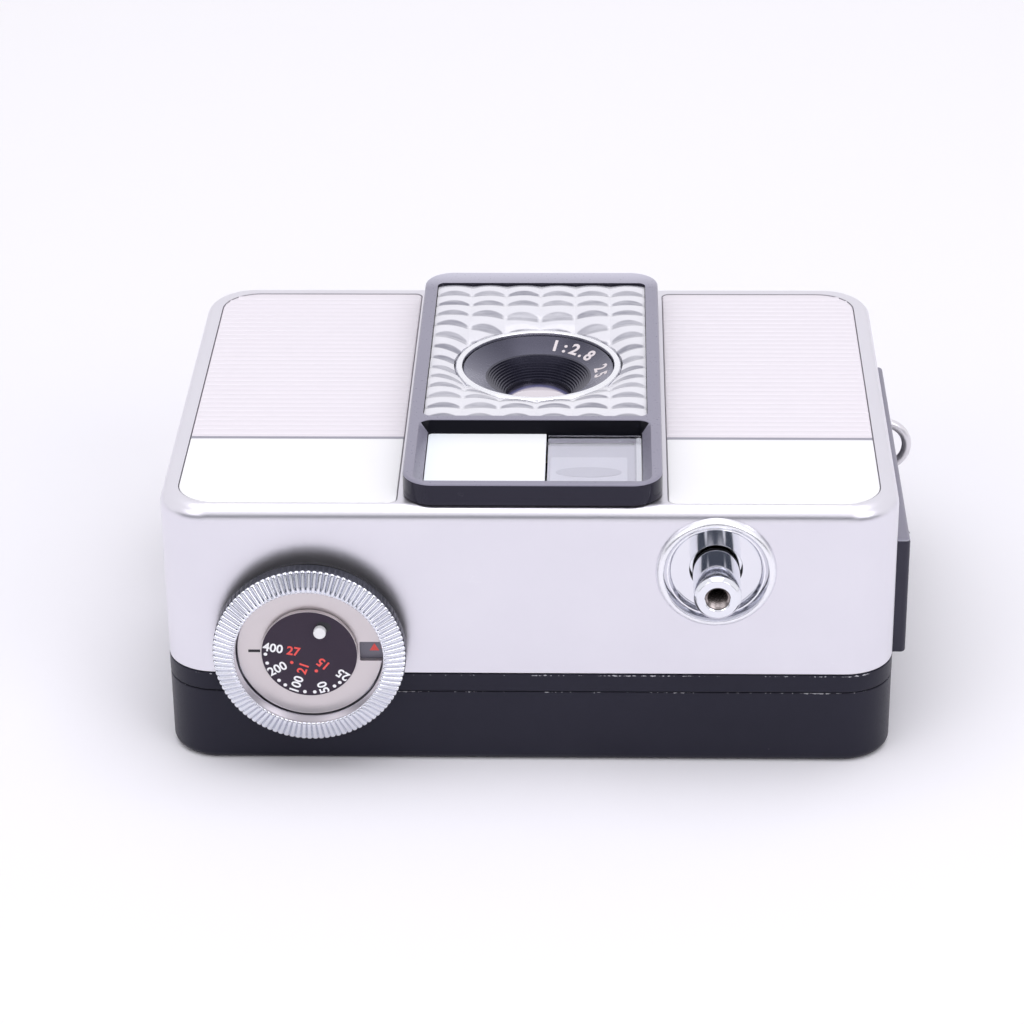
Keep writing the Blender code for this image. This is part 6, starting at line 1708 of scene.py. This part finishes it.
@dataclass
class BaseFittings:
    """Winding knob, rewind disc with its crank, tripod bush, counter and screws on the base."""

    face: float = 30.75
    wind: Pair = (28.74, 18.8)
    rewind: Pair = (-27.7, 17.2)
    tripod: Pair = (0.0, 20.0)
    button: Pair = (-11.0, 20.0)
    counter: Pair = (11.6, 21.0)

    def build(self) -> None:
        """Build and finish the base."""
        self._knob()
        self._rewind()
        self._crank()
        self._bush()
        self._counter()
        press = turned(eased([(0.0, 1.2, 0.0), (1.2, 1.17, 0.3), (2.2, 1.0, 0.2), (2.2, -4.5, 0.0), (0.0, -4.5, 0.0)]),
                       Axis.BASE.at(self.button[0], self.face, self.button[1]), 64)
        SHOP.piece("rewind_press", press, CHROME, ["rewind_button"], "rewind_release")
        heads = screw_pattern().run({"Radius": 1.4, "Height": 0.48, "Slot": 0.34, "Turn": 0.7}, CHROME,
                                    points_mesh([(-34.5, -27.5, 0.0), (15.54, -27.5, 0.0)]))
        heads.transform(Axis.BASE.at(0.0, self.face + 0.1, 0.0))
        SHOP.piece("base_screws", heads, CHROME, ["base_screw_1", "base_screw_2"])

    def _knob(self) -> None:
        """Winding knob with a dished face and a coarse grip, and its arbor."""
        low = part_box("wind_knob")[0].y / MM - self.face - 0.3
        profile = [(0.0, 2.75, 0.0)]
        grooves, first, pitch = 10, 1.2, 0.58
        for i in range(grooves):
            radius = first + pitch * i
            profile += [(radius, 2.74, 0.0), (radius + 0.12, 2.66, 0.0), (radius + 0.24, 2.74, 0.0)]
        profile += [(7.0, 2.72, 0.0), (7.4, 2.74, 0.0), (7.9, 3.14, 0.0), (8.2, 3.2, 0.0), (9.3, 3.2, 0.0),
                    (9.65, 3.15, 0.3), (9.95, 2.95, 1.0), (10.15, 2.6, 1.0), (10.2, 2.2, 1.0), (10.2, 1.2, 1.0),
                    (10.2, 0.6, 1.0), (10.05, 0.3, 0.6), (9.7, 0.02, 0.0), (1.8, 0.0, 0.0), (1.8, low, 0.0),
                    (0.0, low, 0.0)]
        place = Axis.BASE.at(self.wind[0], self.face + 0.3, self.wind[1])
        knob = knurled(profile, 60, 0.42, 0.35, KNURL_CHROME, place, False)
        SHOP.piece("wind_knob_turned", knob, (KNURL_CHROME, SATIN), ["wind_knob"], "winder", sharp=50.0,
                   choose=lambda face: self._satin(face, self.wind, 7.6))

    @staticmethod
    def _satin(face: Any, centre: Pair, reach: float) -> int:
        """Pick the satin finish for the outer face of a turned piece, within a radius of its axis."""
        return int(face.normal.y > 0.3 and around(Axis.BASE.at(centre[0], 0.0, centre[1]), face)[0] < reach)

    def _rewind(self) -> None:
        """Rewind disc with a fine edge, its boss and its fork."""
        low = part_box("rewind_disc")[0].y / MM - self.face - 0.3
        profile = [(0.0, 1.6, 0.0), (6.4, 1.6, 0.0), (6.9, 1.58, 0.0), (7.25, 1.5, 0.4), (7.45, 1.3, 1.0),
                   (7.5, 1.0, 1.0), (7.5, 0.4, 1.0), (7.4, 0.1, 0.4), (7.2, 0.0, 0.0), (1.8, 0.0, 0.0),
                   (1.8, low + 3.6, 0.0), (2.6, low + 3.6, 0.0), (2.6, low, 0.0), (0.0, low, 0.0)]
        place = Axis.BASE.at(self.rewind[0], self.face + 0.3, self.rewind[1])
        bm = knurled(profile, 72, 0.16, 0.35, KNURL_CHROME, Matrix(), False)
        slot = slab((-6.0, -0.8, low - 5.0), (6.0, 0.8, low + 2.4))
        bm = SHOP.carve(bm, slot)
        bm.transform(place)
        boss = slab((-33.85, 32.4, 16.25), (-31.95, 34.2, 18.15), [0.4, 0.4, 0.5, 0.5], steps=5)
        hole = drill(-32.9, 33.65, 0.0, 0.55, (10.0, 25.0), Axis.FRONT, 28)
        whole = SHOP.gather([bm, SHOP.carve(boss, hole)])
        SHOP.piece("rewind_disc_turned", whole, (KNURL_CHROME, SATIN), ["rewind_disc"], "rewind", sharp=50.0,
                   choose=lambda face: self._satin(face, self.rewind, 6.7))

    def _crank(self) -> None:
        """Fold out crank with a rounded end, its pin and its grip."""
        x0, x1 = -33.6, -21.1
        low, high = 33.05, 34.25
        arm = slab((x0, -19.4, low), (x1, -15.0, high), (0.6, 2.1, 2.1, 0.6), 0.25, 0.25, steps=10, rim=4)
        notch = slab((-36.0, -18.45, 30.0), (-31.65, -15.95, 40.0), (0.1, 0.4, 0.4, 0.1), steps=5)
        arm = SHOP.carve(arm, notch)
        arm.transform(Axis.BASE.at(0.0, 0.0, 0.0))
        pin = drill(-32.9, 33.65, 0.0, 0.45, (15.1, 19.3), Axis.FRONT, 28)
        SHOP.piece("rewind_crank_arm", SHOP.gather([arm, pin]), CHROME, ["rewind_crank"], "crank")
        profile = [(0.0, 2.2, 0.0), (1.1, 2.18, 0.0), (1.4, 2.08, 0.0), (1.55, 1.9, 0.5), (1.6, 1.6, 1.0),
                   (1.6, 0.9, 1.0), (1.6, 0.4, 1.0), (1.45, 0.1, 0.0), (1.2, 0.0, 0.0), (0.0, 0.0, 0.0)]
        grip = knurled(profile, 20, 0.14, 0.35, MATT_BLACK, Axis.BASE.at(-23.0, high + 0.1, self.rewind[1]), False)
        SHOP.piece("crank_grip_turned", grip, MATT_BLACK, ["crank_grip"], "crank", sharp=50.0)

    def _bush(self) -> None:
        """Tripod bush with thread rings in its socket."""
        thread: list[Pair] = []
        turns = 6
        for i in range(turns):
            top = 0.25 - 5.9 * i / turns
            thread += [(3.42, top - 0.45), (3.2, top - 0.9)]
        outer = eased([(3.2, 0.3, 0.0), (3.5, 0.7, 0.1), (5.45, 0.7, 0.2), (5.6, 0.1, 0.0), (4.6, 0.1, 0.0),
                       (4.6, -6.0, 0.0), (3.2, -6.0, 0.0)])
        bush = turned(outer + thread[::-1][1:], Axis.BASE.at(self.tripod[0], self.face, self.tripod[1]), 96, True)
        SHOP.piece("tripod_bush_threaded", bush, SATIN, ["tripod_bush"])

    def _counter(self) -> None:
        """Domed counter window, and the counter dial with figures and dots."""
        place = Axis.BASE.at(self.counter[0], self.face, self.counter[1])
        dome = [(3.15 * math.sin(math.pi / 2 * i / 10), 0.4 + 0.58 * math.cos(math.pi / 2 * i / 10)) for i in range(11)]
        window = turned(dome + [(3.4, 0.4), (3.4, 0.1), (0.0, 0.1)], place, 72)
        SHOP.piece("counter_glass", window, CLEAR, ["counter_window"])
        low, high = (corner.y / MM - self.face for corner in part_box("counter_dial"))
        disc = turned(eased([(0.0, high, 0.0), (5.0, high, 0.1), (5.0, low, 0.1), (0.0, low, 0.0)]), place, 96)
        SHOP.piece("counter_disc", disc, WHITE_PLASTIC, ["counter_dial"], "counter")
        figures = []
        for i in range(8):
            solid = SHOP.figures(str(10 * i), 0.95, 0.02)
            solid.transform(place @ Matrix.Rotation(math.radians(45.0 * i), 4, "Z")
                            @ Matrix.Translation((0.0, 2.1, high + 0.012)))
            figures.append(solid)
        SHOP.piece("counter_figures", SHOP.gather(figures), BLACK_INK_AND_SHADE, body="counter")
        spots = [(3.0 * math.cos(math.radians(9.0 * i)), 3.0 * math.sin(math.radians(9.0 * i)), high + 0.004)
                 for i in range(40)]
        dots = dot_pattern().run({"Radius": 0.09, "Height": 0.01, "Sides": 12}, RED_INK, points_mesh(spots))
        dots.transform(place)
        SHOP.piece("counter_dots", dots, RED_INK, body="counter")


@dataclass
class DoorFittings:
    """Eyepiece, latch, film pressure plate and its spring on the back door."""

    eyepiece: Pair = (7.6, -22.25)
    glass: Pair = (9.0, 6.6)
    latch: tuple[Pair, Pair] = ((1.5, 10.5), (2.9, 6.7))

    def build(self) -> None:
        """Build and finish the door's fittings."""
        x, y = self.eyepiece
        w, h = self.glass[0] / 2, self.glass[1] / 2
        rim = slab((x - w - 1.1, y - h - 1.1, 0.1), (x + w + 1.1, y + h + 1.1, 1.8), [2.3] * 4, 0.0, 0.3, steps=10)
        bore = slab((x - w - 0.1, y - h - 0.1, -5.0), (x + w + 0.1, y + h + 0.1, 5.0), [1.3] * 4, steps=10)
        SHOP.piece("eyepiece_rim", SHOP.carve(rim, bore), MATT_BLACK, ["eyepiece_frame"], "door")
        pane = slab((x - w, y - h, 0.6), (x + w, y + h, 1.5), [1.2] * 4, 0.1, 0.2, steps=10, rim=4)
        SHOP.piece("eyepiece_pane", pane, CLEAR, ["eyepiece_glass"], "door")
        self._latch()
        low, high = (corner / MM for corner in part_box("pressure_plate"))
        plate = slab(tuple(low), tuple(high), [1.2] * 4, 0.15, 0.15, steps=8, rim=3)
        SHOP.piece("film_pressure_plate", plate, BLACK_METAL_AND_SHADE, ["pressure_plate"], "film_pressure")
        margin, across, along = (3.0, 3.2), 3.1, 3.2
        spots = [(low.x + margin[0] + across * i, low.y + margin[1] + along * k, high.z - 0.045)
                 for i in range(int((high.x - low.x - 2 * margin[0]) / across) + 1)
                 for k in range(int((high.y - low.y - 2 * margin[1]) / along) + 1)]
        dimples = dot_pattern().run({"Radius": 0.8, "Height": 0.05, "Sides": 14}, BLACK_METAL_AND_SHADE, points_mesh(spots))
        SHOP.piece("pressure_dimples", dimples, BLACK_METAL_AND_SHADE, body="film_pressure")
        SHOP.dress(STEEL, "pressure_spring")

    def _latch(self) -> None:
        """Thumb latch with grip ribs, its stem and its inner plate."""
        (y0, y1), (z0, z1) = self.latch
        thumb = slab((z0, y0, 41.65), (z1, y1, 42.25), [0.7] * 4, 0.25, steps=6, rim=4)
        stem = slab((4.3, 4.6, 39.6), (5.3, 7.4, 41.9), [0.1] * 4)
        inner = slab((3.4, y0, 39.05), (6.2, y1, 39.85), [0.3] * 4, 0.1, 0.1, steps=4, rim=2)
        body = SHOP.carve(thumb, stem, inner, join=True)
        turn = Matrix.Rotation(-math.pi / 2, 4, "Y")
        ribs = rib_pattern().run({"Left": z0 + 0.6, "Right": z1 - 0.6, "Near": y0 + 1.4, "Far": y1 + 9.0, "Pitch": 0.78,
                                  "Count": 8, "Width": 0.24, "Height": 0.19, "Level": 42.25, "LeftCorner": 0.0,
                                  "RightCorner": 0.0}, CHROME)
        body.transform(turn)
        ribs.transform(turn)
        SHOP.piece("latch_thumb", body, CHROME, ["door_latch"], "latch")
        SHOP.piece("latch_ribs", ribs, CHROME, body="latch", sharp=60.0)


@dataclass
class FilmDrive:
    """Take-up drum and the works behind the door that stay as they are."""

    drum: Pair = BaseFittings.wind
    radius: float = 8.2

    def build(self) -> None:
        """Build the drum and dress the rest of the works."""
        low, high = (corner.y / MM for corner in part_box("takeup_drum"))
        rims = [(self.radius, high, 0.15), (self.radius, high - 1.2, 0.1), (self.radius - 0.15, high - 1.4, 0.05),
                (self.radius - 0.15, low + 1.4, 0.05), (self.radius, low + 1.2, 0.1), (self.radius, low, 0.15)]
        bore, core = 2.1, self.radius - 1.0
        inner = [(bore, low, 0.0), (bore, low + 1.0, 0.0), (core, low + 1.0, 0.0), (core, high - 1.0, 0.0),
                 (bore, high - 1.0, 0.0), (bore, high, 0.0)]
        solid = turned(eased(rims + inner, True, 3), Axis.BASE.at(self.drum[0], 0.0, self.drum[1]), 96, True)
        middle = (low + high) / 2
        slot = slab((self.drum[0] - 0.8, middle - 14.5, 0.0), (self.drum[0] + 0.8, middle + 14.5, 12.5), [0.5] * 4,
                    steps=5)
        SHOP.piece("drum_turned", SHOP.carve(solid, slot), MATT_BLACK, ["takeup_drum"], "drum")
        SHOP.dress(BRASS, "drum_gear", "sprocket_gear")
        SHOP.dress(STEEL, "mainspring", "sprocket", "meter_case")
        SHOP.dress(BLACK_METAL_AND_SHADE, "meter_needle")
        SHOP.dress(BLACK_CAST, "chassis")


@dataclass
class Studio:
    """Pale floor, soft light and the camera at the photograph's viewing angle."""

    place: Triple = (9.07, -361.23, 204.33)
    pitch: float = 27.5003
    yaw: float = -1.866
    roll: float = -0.670
    lens: float = 118.465
    white: Triple = (0.97, 0.96, 1.0)
    grey: Triple = (0.075, 0.085, 0.11)
    sky: float = 0.68

    def build(self) -> None:
        """Build the floor, the lamps, the world and the camera."""
        bpy.context.scene.view_settings.view_transform = "Standard"
        self._camera()
        self._floor()
        self._world()
        self._lamps()

    def _camera(self) -> None:
        """Make the scene's camera."""
        p, y, r = (math.radians(a) for a in (self.pitch, self.yaw, self.roll))
        forward = Vector((math.sin(y) * math.cos(p), math.cos(y) * math.cos(p), -math.sin(p)))
        right = Vector((math.cos(y), -math.sin(y), 0.0))
        down = forward.cross(right)
        across = right * math.cos(r) - down * math.sin(r)
        lower = right * math.sin(r) + down * math.cos(r)
        data = bpy.data.cameras.new("photo_camera")
        data.lens = self.lens
        data.sensor_width = 36.0
        data.sensor_fit = "HORIZONTAL"
        data.clip_start = 0.01
        thing = linked("photo_camera", data)
        axes = Matrix((across, -lower, -forward)).transposed().to_4x4()
        thing.matrix_world = Matrix.Translation(Vector(self.place) * MM) @ axes
        bpy.context.scene.camera = thing

    def _floor(self) -> None:
        """Make the floor with a faint paper texture, painted slightly brighter towards the back."""
        bm = bmesh.new()
        bmesh.ops.create_grid(bm, x_segments=8, y_segments=8, size=1.5)
        mesh = bpy.data.meshes.new("floor")
        bm.to_mesh(mesh)
        bm.free()
        mesh.transform(Matrix.Translation((0.0, 0.0, -0.00002)))
        # Painted light: the paper's colour rises towards the back, standing in for light falling there.
        paper = Finish("floor_paper", "white_enamel", (0.93, 0.922, 0.955), (0.92, 0.912, 0.945), 0.9, 0.02,
                       grain=1500.0, cloud=8.0, fades=(((0.0, 1.0, 0.0), 60.0, 260.0, (0.995, 0.985, 1.0)),))
        mesh.materials.append(paper.material())
        linked("floor", mesh)

    def _world(self) -> None:
        """Make a pale room with a greyer band low behind the camera."""
        world = bpy.data.worlds.new("studio")
        bpy.context.scene.world = world
        world.use_nodes = True
        nodes = Nodes(world.node_tree)
        nodes.tree.nodes.clear()
        x, y, z = nodes.split(nodes.add("ShaderNodeTexCoord").outputs["Generated"])
        wide = abs(x)
        ramp = nodes.add("ShaderNodeValToRGB", {"Fac": z + wide * 0.45})
        stops = ((0.0, self.white), (0.21, self.white), (0.27, self.grey), (0.56, self.grey), (0.63, self.white))
        while len(ramp.color_ramp.elements) < len(stops):
            ramp.color_ramp.elements.new(0.5)
        for element, (spot, colour) in zip(ramp.color_ramp.elements, stops):
            element.position = spot
            element.color = (*colour, 1.0)
        behind = ((-0.15 - y) * 3.0).held()
        room = nodes.mix(behind, self.white, ramp.outputs["Color"])
        lamp = Vector((0.33, -0.875, 0.355)).normalized()
        facing = wide * lamp.x + y * lamp.y + z * lamp.z
        room = nodes.mix(((facing - 0.9975) * 700.0).held(), room, self.white)
        path = nodes.add("ShaderNodeLightPath")
        mirrored = nodes.value(path, "Is Glossy Ray").math("MAXIMUM", path.outputs["Is Transmission Ray"])
        pale = (*self.white, 1.0)
        lit, shown, plain = (nodes.add("ShaderNodeBackground", {"Color": colour, "Strength": power}).outputs[0]
                             for colour, power in ((pale, self.sky), (room, 1.0), (pale, 1.0)))
        inside = nodes.add("ShaderNodeMixShader", {0: mirrored, 1: lit, 2: shown}).outputs[0]
        seen = nodes.add("ShaderNodeMixShader", {0: path.outputs["Is Camera Ray"], 1: inside, 2: plain})
        nodes.add("ShaderNodeOutputWorld", {"Surface": seen.outputs[0]})

    def _lamps(self) -> None:
        """Make one large soft lamp above and a weak one on each side in front."""
        for name, place, size, power in (("top_light", (0.0, -0.05, 0.60), 0.6, 1.5),
                                         ("left_light", (-0.40, -0.45, 0.45), 0.4, 0.42),
                                         ("right_light", (0.40, -0.45, 0.45), 0.4, 0.82)):
            data = bpy.data.lights.new(name, "AREA")
            data.shape = "DISK"
            data.size = size
            data.energy = power
            data.color = self.white
            lamp = linked(name, data)
            lamp.location = place
            lamp.rotation_euler = (Vector((0.0, 0.0, 0.01)) - Vector(place)).to_track_quat("-Z", "Y").to_euler()


def main() -> None:
    """Build the studio and every sub-assembly."""
    logging.basicConfig(level=logging.INFO, format="%(message)s")
    Studio().build()
    for assembly in (Casing(), FrontPanels(), MeterFrame(), TakingLens(), SpeedDial(), ReleaseButton(), HingeSide(),
                     BaseFittings(), DoorFittings(), FilmDrive()):
        assembly.build()
    bare = sorted(set(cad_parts) - SHOP.dressed)
    if bare:
        LOG.warning("nodes without a finish: %s", ", ".join(bare))
    LOG.info("%d pieces made", len(SHOP.made))


if __name__ == "__main__":
    main()
